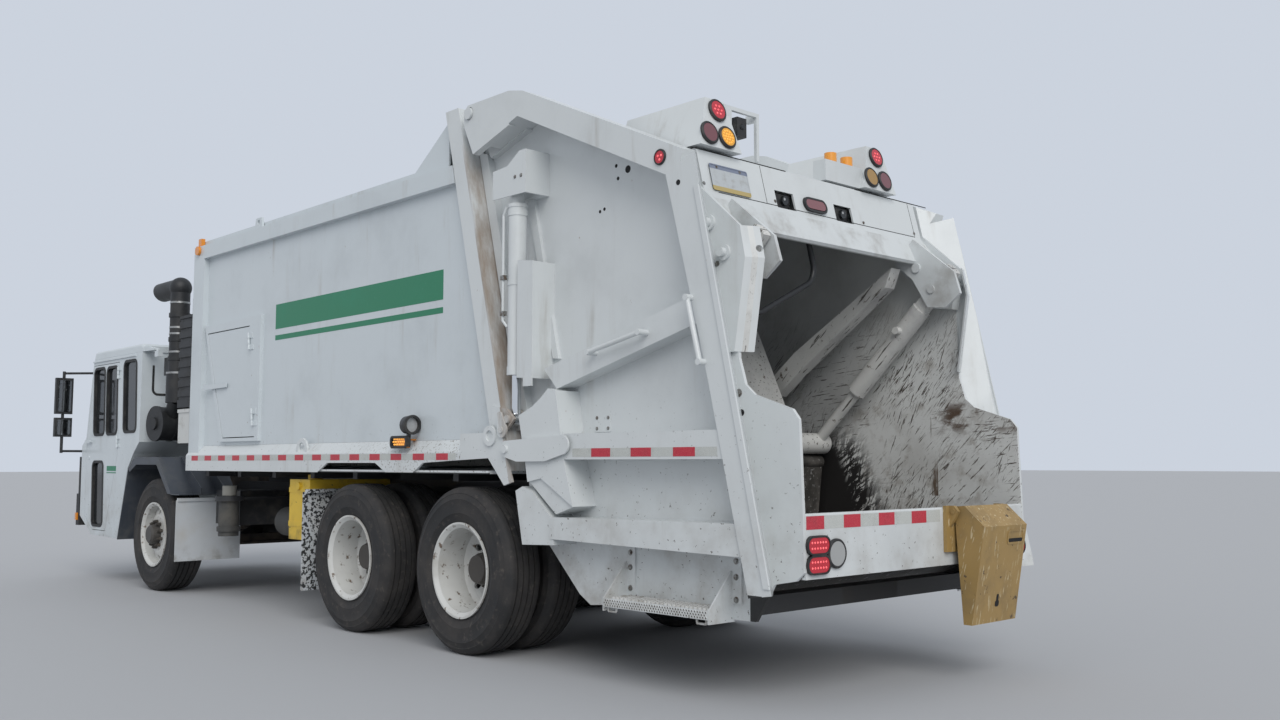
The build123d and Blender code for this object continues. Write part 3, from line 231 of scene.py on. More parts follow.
box_paint = finish("box_paint", (0.030, 0.031, 0.034), 0.5)
cover(box_paint, pattern(box_paint, 7, 0.45, 0.7), (0.09, 0.085, 0.075), 0.8)
box_lid = ramp(box_paint, 1.30, 1.31)
cover(box_paint, box_lid, (0.60, 0.61, 0.60), 0.45)
cover(box_paint, both(box_paint, box_lid, pattern(box_paint, 9, 0.5, 0.75)), (0.36, 0.35, 0.32), 0.65)
dress(box_paint, "battery_box")

flap_white = finish("flap_white", (0.55, 0.58, 0.61), 0.5)
cover(flap_white, pattern(flap_white, 3, 0.45, 0.8), (0.50, 0.50, 0.485), 0.7)
splashed = both(flap_white, pattern(flap_white, 7, 0.45, 0.75), ramp(flap_white, 0.5, 0.28))
cover(flap_white, splashed, (0.27, 0.26, 0.24), 0.85)
speckles = both(flap_white, pattern(flap_white, 34, 0.50, 0.53, detail=3),
                ramp(flap_white, 0.4, 0.3, (1, 0, 0)))
cover(flap_white, speckles, (0.03, 0.031, 0.033), 0.8)
dress(flap_white, "mud_flaps")

# Tyres and wheels: 22.5-inch ribbed tyres with worn treads and brown dusty
# walls, on white enamelled disc rims that the brakes have stained.
AXLE_Z = 0.52
FRONT_AXLE_X = 5.039
MIDDLE_AXLE_X = 1.366
SIDES = (("left", 1), ("right", -1))


def settle(name, mesh, body, *materials, slot=None, smooth=None):
    """Moves a mesh laid out from the rear axle into the frame, to ride on its body."""
    bmesh.ops.translate(mesh, verts=mesh.verts, vec=(REAR_AXLE_X, 0, 0))
    data = bpy.data.meshes.new(name)
    mesh.to_mesh(data)
    mesh.free()
    for material in materials:
        data.materials.append(material)
    if smooth:
        data.shade_smooth()
        data.set_sharp_from_angle(angle=radians(smooth))
    piece = bpy.data.objects.new(name, data)
    bpy.context.scene.collection.objects.link(piece)
    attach(piece, body)
    return piece


def join(mesh, part, paint=0):
    """Adds a closed part that was made on its own, in the material with that number."""
    bmesh.ops.recalc_face_normals(part, faces=part.faces)
    for face in part.faces:
        face.material_index = paint
    data = bpy.data.meshes.new("part")
    part.to_mesh(data)
    part.free()
    mesh.from_mesh(data)
    bpy.data.meshes.remove(data)


def rod(mesh, start, end, radius, sides=20, tip=None, paint=0):
    """A round bar between two points, or a cone where tip is another radius."""
    start, end = Vector(start), Vector(end)
    turn = (end - start).to_track_quat("Z", "Y").to_matrix().to_4x4()
    part = bmesh.new()
    bmesh.ops.create_cone(part, segments=sides, radius1=radius, radius2=radius if tip is None else tip,
                          depth=(end - start).length, cap_ends=True,
                          matrix=Matrix.Translation((start + end) / 2) @ turn)
    join(mesh, part, paint)


def lathe(mesh, outline, middle, axis=(0, 1, 0), steps=48):
    """Spins a closed outline of (radius, distance along the axis) about it."""
    middle, axis = Vector(middle), Vector(axis).normalized()
    out = axis.orthogonal().normalized()
    part = bmesh.new()
    points = [part.verts.new(middle + out * radius + axis * along) for radius, along in outline]
    edges = [part.edges.new((points[index - 1], points[index])) for index in range(len(points))]
    bmesh.ops.spin(part, geom=points + edges, cent=middle, axis=axis, angle=2 * pi, steps=steps, use_merge=True)
    join(mesh, part)


tyre_rubber = finish("tyre_rubber", (0.018, 0.018, 0.019), 0.72)
cover(tyre_rubber, pattern(tyre_rubber, 4, 0.35, 0.7), (0.048, 0.044, 0.042), 0.85)
cover(tyre_rubber, pattern(tyre_rubber, 26, 0.55, 0.75), (0.085, 0.075, 0.068), 0.9)
bump(tyre_rubber, pattern(tyre_rubber, 180, 0.35, 0.65), 0.001, 0.3)

TREAD_GROOVES = (0.2, 0.4, 0.6, 0.8)  # places across the tread
SHOULDER = 0.12  # share of the tyre's width on each side of the tread


def tyre_outline(y0, y1):
    """Bead, wall with its rings, shoulder and a tread with four grooves."""
    wall = [(0.283, 0.027), (0.300, 0.024), (0.318, 0.017), (0.352, 0.006), (0.356, 0.003), (0.361, 0.004),
            (0.400, 0.001), (0.438, 0.003), (0.442, 0.001), (0.447, 0.004), (0.476, 0.011), (0.480, 0.009),
            (0.486, 0.014), (0.502, 0.024), (0.513, 0.034), (0.5185, 0.048)]
    tread = []
    for place in TREAD_GROOVES:
        middle = y0 + (y1 - y0) * (SHOULDER + (1 - 2 * SHOULDER) * place)
        tread += [(0.520, middle - 0.006), (0.508, middle - 0.004),
                  (0.508, middle + 0.004), (0.520, middle + 0.006)]
    return ([(radius, y0 + inset) for radius, inset in wall] + tread
            + [(radius, y1 - inset) for radius, inset in reversed(wall)])


DUAL_Y = ((0.606, 0.885), (0.936, 1.215))  # inner and outer y of a pair's tyres
for node, body, axle_x, walls in (("tyre_front", "front_wheel", FRONT_AXLE_X, ((0.875, 1.190),)),
                                  ("tyres_rear_1", "rear_wheel_1", MIDDLE_AXLE_X, DUAL_Y),
                                  ("tyres_rear_2", "rear_wheel_2", 0, DUAL_Y)):
    for side, sign in SIDES:
        casing = bmesh.new()
        for inner, outer in walls:
            y0, y1 = sorted((sign * inner, sign * outer))
            lathe(casing, tyre_outline(y0, y1), (axle_x, 0, AXLE_Z), steps=96)
        look = settle(f"{node}_{side}_look", casing, f"{body}_{side}", tyre_rubber, slot="tyre", smooth=32)
        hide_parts(f"{node}_{side}")

EDGE = 0.002  # width over which a painted zone ends


def zone(material, **limits):
    """1 inside a box given by pairs of x, y and z limits from the rear axle."""
    mask = 1
    for axis, (low, high) in limits.items():
        way = [float(axis == name) for name in "xyz"]
        shift = REAR_AXLE_X if axis == "x" else 0
        mask = both(material, mask, ramp(material, low + shift, low + shift + EDGE, way))
        mask = both(material, mask, ramp(material, high + shift, high + shift - EDGE, way))
    return mask


rim_enamel = finish("rim_enamel", (0.62, 0.625, 0.61), 0.4, coat=0.2)
cover(rim_enamel, pattern(rim_enamel, 3, 0.4, 0.75), (0.45, 0.44, 0.41), 0.6)
cover(rim_enamel, pattern(rim_enamel, 22, 0.58, 0.68), (0.16, 0.12, 0.09), 0.8)
DRUM_BROWN, HUB_BROWN = (0.055, 0.048, 0.042), (0.06, 0.055, 0.05)
for middle_x, starts, width, reach, colour, roughness in (
        (MIDDLE_AXLE_X, (0.9255, -1.09), 0.1645, 0.125, DRUM_BROWN, 0.65),
        (0, (0.9255, -1.09), 0.1645, 0.125, DRUM_BROWN, 0.65),
        (FRONT_AXLE_X, (1.1375, -1.23), 0.0925, 0.11, HUB_BROWN, 0.6)):
    for y in starts:
        hub = zone(rim_enamel, x=(middle_x - reach, middle_x + reach), y=(y, y + width),
                   z=(AXLE_Z - reach, AXLE_Z + reach))
        cover(rim_enamel, hub, colour, roughness)
hub_iron = finish("hub_iron", (0.045, 0.040, 0.036), 0.55)
cover(hub_iron, pattern(hub_iron, 18, 0.45, 0.7), (0.11, 0.09, 0.07), 0.85)
for side, sign in SIDES:
    dress(rim_enamel, f"rim_front_{side}", f"rim_rear_1_{side}", f"rim_rear_2_{side}")

NUTS = 10
for side, sign in SIDES:
    for wheel, axle_x, face_y, circle, height in (("front_wheel", FRONT_AXLE_X, 1.137, 0.118, 0.034),
                                                  ("rear_wheel_1", MIDDLE_AXLE_X, 0.924, 0.142, 0.030),
                                                  ("rear_wheel_2", 0, 0.924, 0.142, 0.030)):
        foot, top, stud_end = (sign * (face_y + reach) for reach in (0, height, height + 0.012))
        nuts = bmesh.new()
        for index in range(NUTS):
            turn = 2 * pi * (index + 0.5) / NUTS
            x, z = axle_x + circle * cos(turn), AXLE_Z + circle * sin(turn)
            rod(nuts, (x, foot, z), (x, top, z), 0.0165, sides=6)
            rod(nuts, (x, top, z), (x, stud_end, z), 0.011, sides=12)
        settle(f"wheel_nuts_{wheel}_{side}", nuts, f"{wheel}_{side}", hub_iron, slot="cast_axle")

# Cab: a low-entry steel cab in white enamel, with tinted glass in black
# rubber, a moulded black inside and black mirrors on swan arms.
CAB_Y = 1.2
CAB_REAR_X = 5.41
WINDOW_LEAN = 0.055


def weathered(name, colour, roughness, dirt):
    """White enamel with rain streaks, rust specks and road dirt that thins out upwards."""
    paint = finish(name, colour, roughness, coat=0.25)
    cover(paint, pattern(paint, 1.6, 0.45, 0.85), [value * 0.86 for value in colour], roughness + 0.12)
    streaks = both(paint, pattern(paint, 7, 0.52, 0.8, stretch=(1, 1, 0.12)), pattern(paint, 1.3, 0.4, 0.7))
    cover(paint, streaks, (0.42, 0.41, 0.38), 0.6)
    low_dirt = both(paint, ramp(paint, 1.35, 0.30), pattern(paint, 4, 0.38, 0.80), dirt)
    cover(paint, low_dirt, (0.36, 0.345, 0.32), 0.7)
    specks = both(paint, pattern(paint, 42, 0.66, 0.70, detail=3), ramp(paint, 1.9, 0.5), dirt)
    cover(paint, specks, (0.13, 0.12, 0.11), 0.8)
    rust = both(paint, pattern(paint, 24, 0.68, 0.72), pattern(paint, 2.2, 0.52, 0.65), dirt)
    cover(paint, rust, (0.24, 0.15, 0.09), 0.7)
    bump(paint, pattern(paint, 1.2, 0.2, 0.8, detail=1.5), 0.010, 0.22)
    return paint


enamel = weathered("enamel", (0.61, 0.66, 0.69), 0.32, 0.75)
dress(enamel, "cab_shell", "cab_roof", "door_left", "door_right")

tinted = finish("tinted", (0.03, 0.035, 0.04), 0.06)
tinted.node_tree.nodes["Principled BSDF"].inputs["Transmission Weight"].default_value = 0.5
cover(tinted, pattern(tinted, 5, 0.45, 0.8), (0.06, 0.065, 0.065), 0.18)
dress(tinted, "cab_glass", "door_glass_left", "door_glass_right")

moulded_black = finish("moulded_black", (0.018, 0.019, 0.021), 0.5)
cover(moulded_black, pattern(moulded_black, 6, 0.45, 0.75), (0.045, 0.045, 0.045), 0.75)
bump(moulded_black, pattern(moulded_black, 160, 0.3, 0.7), 0.0006)
dress(moulded_black, "mirrors", "cab_interior", "air_intake")

fender_grey = finish("fender_grey", (0.055, 0.064, 0.080), 0.4)
cover(fender_grey, pattern(fender_grey, 5, 0.45, 0.75), (0.10, 0.105, 0.11), 0.7)
dress(fender_grey, "front_fenders")


def rounded(corners, radius, steps=6):
    """The points of a flat outline whose corners are arcs of one radius."""
    points = []
    for index, corner in enumerate(corners):
        here = Vector(corner)
        back = (Vector(corners[index - 1]) - here).normalized()
        ahead = (Vector(corners[(index + 1) % len(corners)]) - here).normalized()
        half = back.angle(ahead) / 2
        middle = here + (back + ahead).normalized() * radius / sin(half)
        start, end = here + back * radius / tan(half), here + ahead * radius / tan(half)
        for step in range(steps + 1):
            turn = (start - middle).slerp(end - middle, step / steps)
            points.append(middle + turn.normalized() * radius)
    return points


def thicken(part, faces, lift):
    """Pulls a second layer of flat faces off the first, so that they close a solid."""
    made = bmesh.ops.extrude_face_region(part, geom=faces, use_keep_orig=True)["geom"]
    bmesh.ops.translate(part, verts=[item for item in made if isinstance(item, bmesh.types.BMVert)], vec=lift)


def plate(mesh, outline, plane, low, high, paint=0):
    """A flat plate of an outline, from low to high off its plane."""
    part = bmesh.new()
    face = part.faces.new([part.verts.new(plane(point, low)) for point in outline])
    thicken(part, [face], plane(outline[0], high) - plane(outline[0], low))
    join(mesh, part, paint)


def band(mesh, outline, plane, inner, outer, low, high, paint=0):
    """A flat ring along a closed outline, from inner to outer of its line and low to high off the plane."""
    after = outline[1:] + outline[:1]
    clockwise = sum(here.x * ahead.y - ahead.x * here.y for here, ahead in zip(outline, after)) < 0
    part = bmesh.new()
    edges = []
    for offset in (inner, outer):
        ring = []
        for index, here in enumerate(outline):
            run = (after[index] - outline[index - 1]).normalized()
            out = Vector((run.y, -run.x)) * (-1 if clockwise else 1)
            ring.append(part.verts.new(plane(here + out * offset, low)))
        edges += [part.edges.new((ring[index - 1], ring[index])) for index in range(len(ring))]
    faces = bmesh.ops.bridge_loops(part, edges=edges)["faces"]
    thicken(part, faces, plane(outline[0], high) - plane(outline[0], low))
    join(mesh, part, paint)


def on_side(y):
    """Maps (x, z) and a height off the surface onto a side plane of the truck."""
    return lambda point, lift: Vector((point[0], y + (lift if y > 0 else -lift), point[1]))


def on_end(x, way=-1, lean=0.0, middle_z=0.0):
    """Maps (y, z) and a height onto a cross plane that faces along way and leans by dx over dz."""
    return lambda point, lift: Vector((x + lean * (point[1] - middle_z) + way * lift, point[0], point[1]))


def leaning(rear, front, low, high):
    """The corners of a window whose sides lean, given by its edges at its middle height."""
    shift = WINDOW_LEAN * (high - low) / 2
    return [(rear - shift, low), (front - shift, low), (front + shift, high), (rear + shift, high)]


DOOR_WINDOWS = (leaning(6.384, 6.695, 1.473, 2.165), leaning(6.030, 6.330, 1.473, 2.160),
                leaning(6.350, 6.660, 0.545, 1.200))
SIDE_WINDOW = leaning(5.520, 5.856, 1.488, 2.195)
RUBBER = (-0.016, 0.011)  # inner and outer edge, from the window's line
window_rubber = finish("window_rubber", (0.014, 0.014, 0.015), 0.55)
cover(window_rubber, pattern(window_rubber, 12, 0.45, 0.7), (0.04, 0.04, 0.038), 0.8)
for side, sign in SIDES:
    rubber = bmesh.new()
    for window in DOOR_WINDOWS:
        band(rubber, rounded(window, 0.06), on_side(sign * CAB_Y), *RUBBER, -0.024, 0.006)
    settle(f"door_rubber_{side}", rubber, f"cab_door_{side}", window_rubber, slot="black_plastic")
rubber = bmesh.new()
for sign in (1, -1):
    band(rubber, rounded(SIDE_WINDOW, 0.06), on_side(sign * CAB_Y), *RUBBER, -0.02, 0.006)
WINDSCREEN = [(-1.08, 1.5), (1.08, 1.5), (1.04, 2.17), (-1.04, 2.17)]
band(rubber, rounded(WINDSCREEN, 0.03), on_end(6.8965, 1, -0.1877, 1.446), -0.022, 0.02, -0.014, 0.008)
BACK_WINDOW = rounded([(-0.7, 1.7), (0.7, 1.7), (0.7, 2.19), (-0.7, 2.19)], 0.08)
band(rubber, BACK_WINDOW, on_end(CAB_REAR_X), -0.02, 0.014, -0.02, 0.006)
for sign in (1, -1):
    near, far = sign * 0.77, sign * 1.09
    corner_window = rounded([(near, 1.85), (far, 1.85), (far, 2.21), (near, 2.21)], 0.05)
    plate(rubber, corner_window, on_end(CAB_REAR_X), -0.001, 0.002, 0)
    plate(rubber, corner_window, on_end(CAB_REAR_X), 0.0025, 0.005, 1)
    band(rubber, corner_window, on_end(CAB_REAR_X), -0.012, 0.010, -0.002, 0.008)
settle("cab_rubber", rubber, "chassis", window_rubber, tinted, slot="black_plastic")

wipers = bmesh.new()
for y in (0.15, -0.75):
    foot = (6.912, y, 1.475)
    rod(wipers, (6.88, y, 1.47), foot, 0.018, sides=16)
    rod(wipers, foot, (6.905, y + 0.3, 1.62), 0.007, sides=8)
    rod(wipers, (6.899, y + 0.02, 1.57), (6.836, y + 0.42, 1.92), 0.008, sides=6)
settle("wipers", wipers, "chassis", moulded_black, slot="black_plastic", smooth=40)

mirror_silver = finish("mirror_silver", (0.72, 0.74, 0.76), 0.05, metallic=1.0)
cover(mirror_silver, pattern(mirror_silver, 30, 0.6, 0.7), (0.5, 0.5, 0.5), 0.3)
mirror_glass = bmesh.new()
MIRROR_X = 7.025
for sign in (1, -1):
    near, far = sign * 1.330, sign * 1.460
    for low, high in ((1.725, 2.055), (1.480, 1.640)):
        outline = rounded([(near, low), (far, low), (far, high), (near, high)], 0.02)
        plate(mirror_glass, outline, on_end(MIRROR_X), 0, 0.004)
settle("mirror_glass", mirror_glass, "chassis", mirror_silver, slot="glass")

intake_bands = bmesh.new()
INTAKE_X, INTAKE_Y = 4.9, 1.05
for z, radius in ((2.700, 0.092), (2.462, 0.092), (2.403, 0.092), (2.230, 0.092), (2.031, 0.107)):
    clamp_band = [(radius - 0.006, -0.009), (radius, -0.009), (radius, 0.009), (radius - 0.006, 0.009)]
    lathe(intake_bands, clamp_band, (INTAKE_X, INTAKE_Y, z), axis=(0, 0, 1))
clamp_steel = finish("clamp_steel", (0.42, 0.42, 0.41), 0.35, metallic=0.9)
cover(clamp_steel, pattern(clamp_steel, 30, 0.5, 0.7), (0.2, 0.19, 0.17), 0.6)
settle("intake_bands", intake_bands, "chassis", clamp_steel, slot="chrome_rod", smooth=40)

# Load body: smooth steel sheet welded between posts and rails in the same
# white enamel, with red and silver reflective tape along its skirts and two
# plain green stripes on each side.
SHEET_Y = 1.15
SKIRT_Y = 1.22
FLOOR_Z = (1.120, 1.128)  # underside, and the top of the floor's edge under the skirts; below both, painted shade in near-black
FADED_WHITE = (0.66, 0.69, 0.70)
# A near-black used as painted shade under the body floor and as the work lamps' own black.
SHADE_AND_LAMP_BLACK = (0.022, 0.022, 0.024)
dress(enamel, "body_side_left", "body_side_right", "body_roof", "body_front_wall", "access_door")
floor_enamel = weathered("floor_enamel", FADED_WHITE, 0.36, 1.0)
splashed = both(floor_enamel, pattern(floor_enamel, 60, 0.58, 0.64, detail=2),
                ramp(floor_enamel, 0.2, -2.1, (1, 0, 0)))
cover(floor_enamel, splashed, (0.30, 0.29, 0.27), 0.7)
# Painted shade: the floor's underside between the skirts and its edge strip under the skirts are laid over in
# near-black.
between_skirts = zone(floor_enamel, y=(-1.2185, 1.2185))
underside = both(floor_enamel, between_skirts, ramp(floor_enamel, FLOOR_Z[0], FLOOR_Z[0] - 0.004))
cover(floor_enamel, underside, SHADE_AND_LAMP_BLACK, 0.7)
edges = both(floor_enamel, between_skirts, zone(floor_enamel, y=(-1.195, 1.195)), how="SUBTRACT")
edges = both(floor_enamel, edges, ramp(floor_enamel, FLOOR_Z[1], FLOOR_Z[1] - 0.002))
cover(floor_enamel, edges, SHADE_AND_LAMP_BLACK, 0.7)
dress(floor_enamel, "body_floor")
frame_enamel = weathered("frame_enamel", FADED_WHITE, 0.36, 1.0)
stained = both(frame_enamel, ramp(frame_enamel, -2.962, -2.968, (1, 0, -0.26)), ramp(frame_enamel, 3.3, 3.0),
               pattern(frame_enamel, 9, 0.25, 0.7, stretch=(1, 1, 0.15)))
cover(frame_enamel, stained, (0.33, 0.27, 0.22), 0.7)
dress(frame_enamel, "body_rear_frame")

tape_red = finish("tape_red", (0.50, 0.022, 0.045), 0.35)
cover(tape_red, pattern(tape_red, 9, 0.45, 0.8), (0.36, 0.035, 0.05), 0.55)
cover(tape_red, pattern(tape_red, 300, 0.5, 0.62, detail=1), (0.58, 0.06, 0.08), 0.4)
tape_silver = finish("tape_silver", (0.50, 0.52, 0.50), 0.35)
cover(tape_silver, pattern(tape_silver, 8, 0.45, 0.8), (0.38, 0.385, 0.36), 0.55)
cover(tape_silver, pattern(tape_silver, 300, 0.5, 0.62, detail=1), (0.60, 0.61, 0.59), 0.4)


SILVER_LAYER, RED_LAYER, STRIPE_LAYER = (0.0002, 0.0008), (0.0009, 0.0015), (0.0002, 0.001)  # off the sheet
STRIPE_EDGES = ((-0.5, 0.5), (-0.95, -0.75))  # low and high, in widths of the broad one


def tape(mesh, plane, start, step, red, count, low, high, end):
    """Silver tape with red blocks of one length, set a step apart."""
    silver = [(start, low), (end, low), (end, high), (start, high)]
    plate(mesh, silver, plane, *SILVER_LAYER, 1)
    for index in range(count):
        first = start + index * step
        last = first + red
        plate(mesh, [(first, low), (last, low), (last, high), (first, high)], plane, *RED_LAYER, 0)


def stripes(mesh, plane, x, z, length, width):
    """A broad plain stripe over a narrow one."""
    for low, high in STRIPE_EDGES:
        ends = ((-0.5, low), (0.5, low), (0.5, high), (-0.5, high))
        plate(mesh, [(x + along * length, z + up * width) for along, up in ends], plane, *STRIPE_LAYER)


stripe_green = finish("stripe_green", (0.018, 0.21, 0.105), 0.4)
cover(stripe_green, pattern(stripe_green, 4, 0.45, 0.8), (0.03, 0.235, 0.13), 0.5)
cover(stripe_green, pattern(stripe_green, 60, 0.64, 0.7), (0.12, 0.28, 0.2), 0.6)
body_tape, body_stripes = bmesh.new(), bmesh.new()
for sign in (1, -1):
    tape(body_tape, on_side(sign * SKIRT_Y), 4.107, -0.2755, -0.134, 15, 1.2065, 1.249, 0.03)
    stripes(body_stripes, on_side(sign * SHEET_Y), 1.5, 2.36, 2.4, 0.2)
settle("body_tape", body_tape, "chassis", tape_red, tape_silver, slot="white_paint")
settle("body_stripes", body_stripes, "chassis", stripe_green, slot="white_paint")
for side, sign in SIDES:
    door_stripes = bmesh.new()
    stripes(door_stripes, on_side(sign * CAB_Y), 6.13, 1.13, 0.26, 0.05)
    settle(f"door_stripes_{side}", door_stripes, f"cab_door_{side}", stripe_green, slot="white_paint")

# Lamps of the body and the cab: amber markers with rows of diodes and black
# work lamps are bolted to the skirts, and round headlamps in bright steel
# rims are let into the bumper.
lens_amber = finish("lens_amber", (0.80, 0.28, 0.02), 0.18, coat=0.5)
cover(lens_amber, pattern(lens_amber, 60, 0.5, 0.7), (0.66, 0.21, 0.015), 0.3)
headlamps = zone(lens_amber, y=(-1.05, 1.05))
cover(lens_amber, headlamps, (0.55, 0.57, 0.58), 0.08)
for sign in (1, -1):
    near, far = sorted((sign * 1.14, sign * 1.29))
    work_lamp = zone(lens_amber, x=(0.56, 0.613), y=(near, far), z=(1.353, 1.52))
    cover(lens_amber, work_lamp, SHADE_AND_LAMP_BLACK, 0.5)
dress(lens_amber, "body_lamps")

lamp_black = finish("lamp_black", (0.020, 0.020, 0.021), 0.5)
cover(lamp_black, pattern(lamp_black, 20, 0.45, 0.7), (0.055, 0.053, 0.05), 0.75)
lamp_clear = finish("lamp_clear", (0.40, 0.41, 0.42), 0.1, coat=0.6)
cover(lamp_clear, pattern(lamp_clear, 60, 0.4, 0.7), (0.36, 0.37, 0.37), 0.25)
glow_amber = finish("glow_amber", (0.95, 0.42, 0.06), 0.25)
cover(glow_amber, pattern(glow_amber, 80, 0.4, 0.7), (0.98, 0.52, 0.10), 0.3)
glow_red = finish("glow_red", (0.95, 0.12, 0.14), 0.25)
cover(glow_red, pattern(glow_red, 80, 0.4, 0.7), (0.98, 0.28, 0.28), 0.3)
for dots in (glow_amber, glow_red):
    shader = dots.node_tree.nodes["Principled BSDF"]
    shader.inputs["Emission Color"].default_value = shader.inputs["Base Color"].default_value
    shader.inputs["Emission Strength"].default_value = 0.5

side_lamps = bmesh.new()
WORK_LAMP_RIM = [(0.050, 0), (0.062, 0), (0.066, 0.03), (0.05, 0.034)]
for sign in (1, -1):
    marker = rounded([(0.552, 1.284), (0.758, 1.284), (0.758, 1.368), (0.552, 1.368)], 0.028)
    plate(side_lamps, marker, on_side(sign * (SKIRT_Y + 0.001)), 0, 0.026, 0)
    band(side_lamps, marker, on_side(sign * (SKIRT_Y + 0.027)), -0.017, 0, 0, 0.009, 0)
    for row, count in ((1.310, 6), (1.328, 7), (1.346, 6)):
        for index in range(count):
            x = 0.655 + (index - (count - 1) / 2) * 0.022
            foot, top = (x, sign * (SKIRT_Y + 0.028), row), (x, sign * (SKIRT_Y + 0.0335), row)
            rod(side_lamps, foot, top, 0.008, sides=10, tip=0.005, paint=1)
    lathe(side_lamps, WORK_LAMP_RIM, (0.571, sign * 1.214, 1.44), axis=(-1, 0, 0))
    rod(side_lamps, (0.579, sign * 1.214, 1.44), (0.566, sign * 1.214, 1.44), 0.051, sides=32, paint=2)
settle("side_lamps", side_lamps, "chassis", lamp_black, glow_amber, lamp_clear, slot="lamp_plastic", smooth=40)

front_lamps = bmesh.new()
BUMPER_X = 7.126
HEADLAMP_RIM = [(0.074, -0.006), (0.084, -0.006), (0.084, 0.002), (0.077, 0.004)]
for y in (-0.96, -0.76, 0.76, 0.96):
    lathe(front_lamps, HEADLAMP_RIM, (BUMPER_X, y, 0.7), axis=(1, 0, 0))
settle("headlamp_rims", front_lamps, "chassis", clamp_steel, slot="chrome_rod", smooth=40)

# Tailgate: welded sheet and box beams in the same enamel, scratched and grey
# with grime, and inside the hopper rubbed bare, scored and stained.
BEAM_Y = 1.21
GATE_Y = 1.035
SILL_X = -2.6
worn_enamel = weathered("worn_enamel", FADED_WHITE, 0.36, 1.0)
grime = both(worn_enamel, zone(worn_enamel, x=(-2.6, -0.2), y=(-1.02, 1.02), z=(2.0, 2.6)),
             pattern(worn_enamel, 5, 0.45, 0.75), 0.6)
cover(worn_enamel, grime, (0.30, 0.285, 0.26), 0.75)
hollow = zone(worn_enamel, x=(-1.9, -1.86), y=(-0.06, 0.805), z=(1.9, 2.519))
cover(worn_enamel, hollow, (0.010, 0.011, 0.013), 0.6)
belly_beam = zone(worn_enamel, x=(-2.34, -2.1), y=(-1.1, 1.1), z=(0.40, 0.60))
cover(worn_enamel, belly_beam, (0.020, 0.020, 0.021), 0.7)
dress(worn_enamel, "tailgate_header", "tailgate_roof", "rear_sill", "lift_barrels")

wall_enamel = weathered("wall_enamel", FADED_WHITE, 0.36, 1.0)
within = both(wall_enamel, zone(wall_enamel, y=(-1.019, 1.019)), zone(wall_enamel, y=(-0.99, 0.99)),
              how="SUBTRACT")


def scores(material, scale, low, high, turn, long=0.12):
    """Long scratches that run at a turn about the truck's cross axis."""
    mask = pattern(material, scale, low, high, stretch=(1 / long, 1, 1), detail=3)
    drawn = [node for node in material.node_tree.nodes if node.type == "MAPPING"][-1]
    drawn.vector_type = "TEXTURE"
    drawn.inputs["Rotation"].default_value = (0, turn, 0)
    return mask


cover(wall_enamel, within, (0.70, 0.71, 0.70), 0.5)
cover(wall_enamel, both(wall_enamel, within, pattern(wall_enamel, 2.4, 0.42, 0.72)), (0.56, 0.56, 0.545), 0.65)
used = both(wall_enamel, within, ramp(wall_enamel, 2.35, 1.75))
stains = both(wall_enamel, used, pattern(wall_enamel, 7, 0.50, 0.68),
              pattern(wall_enamel, 1.7, 0.42, 0.62), 0.6)
cover(wall_enamel, stains, (0.24, 0.20, 0.16), 0.8)
for scale, low, high, turn, place in ((70, 0.60, 0.625, 0.75, 1.6), (95, 0.60, 0.63, 1.2, 1.9),
                                      (80, 0.61, 0.635, 0.1, 1.3), (120, 0.58, 0.61, 0.9, 1.1)):
    rubbed = both(wall_enamel, used, scores(wall_enamel, scale, low, high, turn, 0.09),
                  pattern(wall_enamel, place, 0.45, 0.58))
    cover(wall_enamel, rubbed, (0.085, 0.070, 0.058), 0.7)
smudge = both(wall_enamel, within, ramp(wall_enamel, -4.1, -4.3, (1, 0, 0)), ramp(wall_enamel, 1.62, 1.50),
              ramp(wall_enamel, 1.32, 1.44), pattern(wall_enamel, 9, 0.47, 0.60, stretch=(0.5, 1, 1)))
cover(wall_enamel, smudge, (0.10, 0.065, 0.045), 0.8)
drip = both(wall_enamel, within, zone(wall_enamel, x=(-2.035, -1.985), z=(0.98, 1.48)),
            pattern(wall_enamel, 14, 0.40, 0.55, stretch=(1, 1, 0.2)))
cover(wall_enamel, drip, (0.12, 0.085, 0.06), 0.8)
SLUDGE_BLACK = (0.016, 0.015, 0.015)
sludge = both(wall_enamel, used, ramp(wall_enamel, -3.98, -3.88, (1, 0, -0.4)), ramp(wall_enamel, 1.42, 1.25))
cover(wall_enamel, sludge, SLUDGE_BLACK, 0.5)
fringe = both(wall_enamel, used, ramp(wall_enamel, -4.22, -4.00, (1, 0, -0.4)), ramp(wall_enamel, 1.5, 1.2))
for turn in (0.55, 1.25):
    flecks = scores(wall_enamel, 46, 0.48, 0.52, turn, 0.2)
    cover(wall_enamel, both(wall_enamel, fringe, flecks), SLUDGE_BLACK, 0.5)
# Plain grey over the upper, forward part of the hopper's inner walls: partly grime, partly painted shade deep
# in the hopper.
grime_and_shade_top = both(wall_enamel, within, ramp(wall_enamel, -3.8, -3.3, (1, 0, 0)), ramp(wall_enamel, 1.2, 1.6), 0.4)
cover(wall_enamel, grime_and_shade_top, (0.20, 0.20, 0.205), 0.8)
below_floor = both(wall_enamel, within, ramp(wall_enamel, 0.662, 0.655))
cover(wall_enamel, below_floor, (0.028, 0.027, 0.026), 0.75)
beam_end = zone(wall_enamel, x=(-2.5, -2.262), z=(0.38, 0.565))
cover(wall_enamel, beam_end, (0.022, 0.022, 0.022), 0.75)
dress(wall_enamel, "tailgate_side_left", "tailgate_side_right")

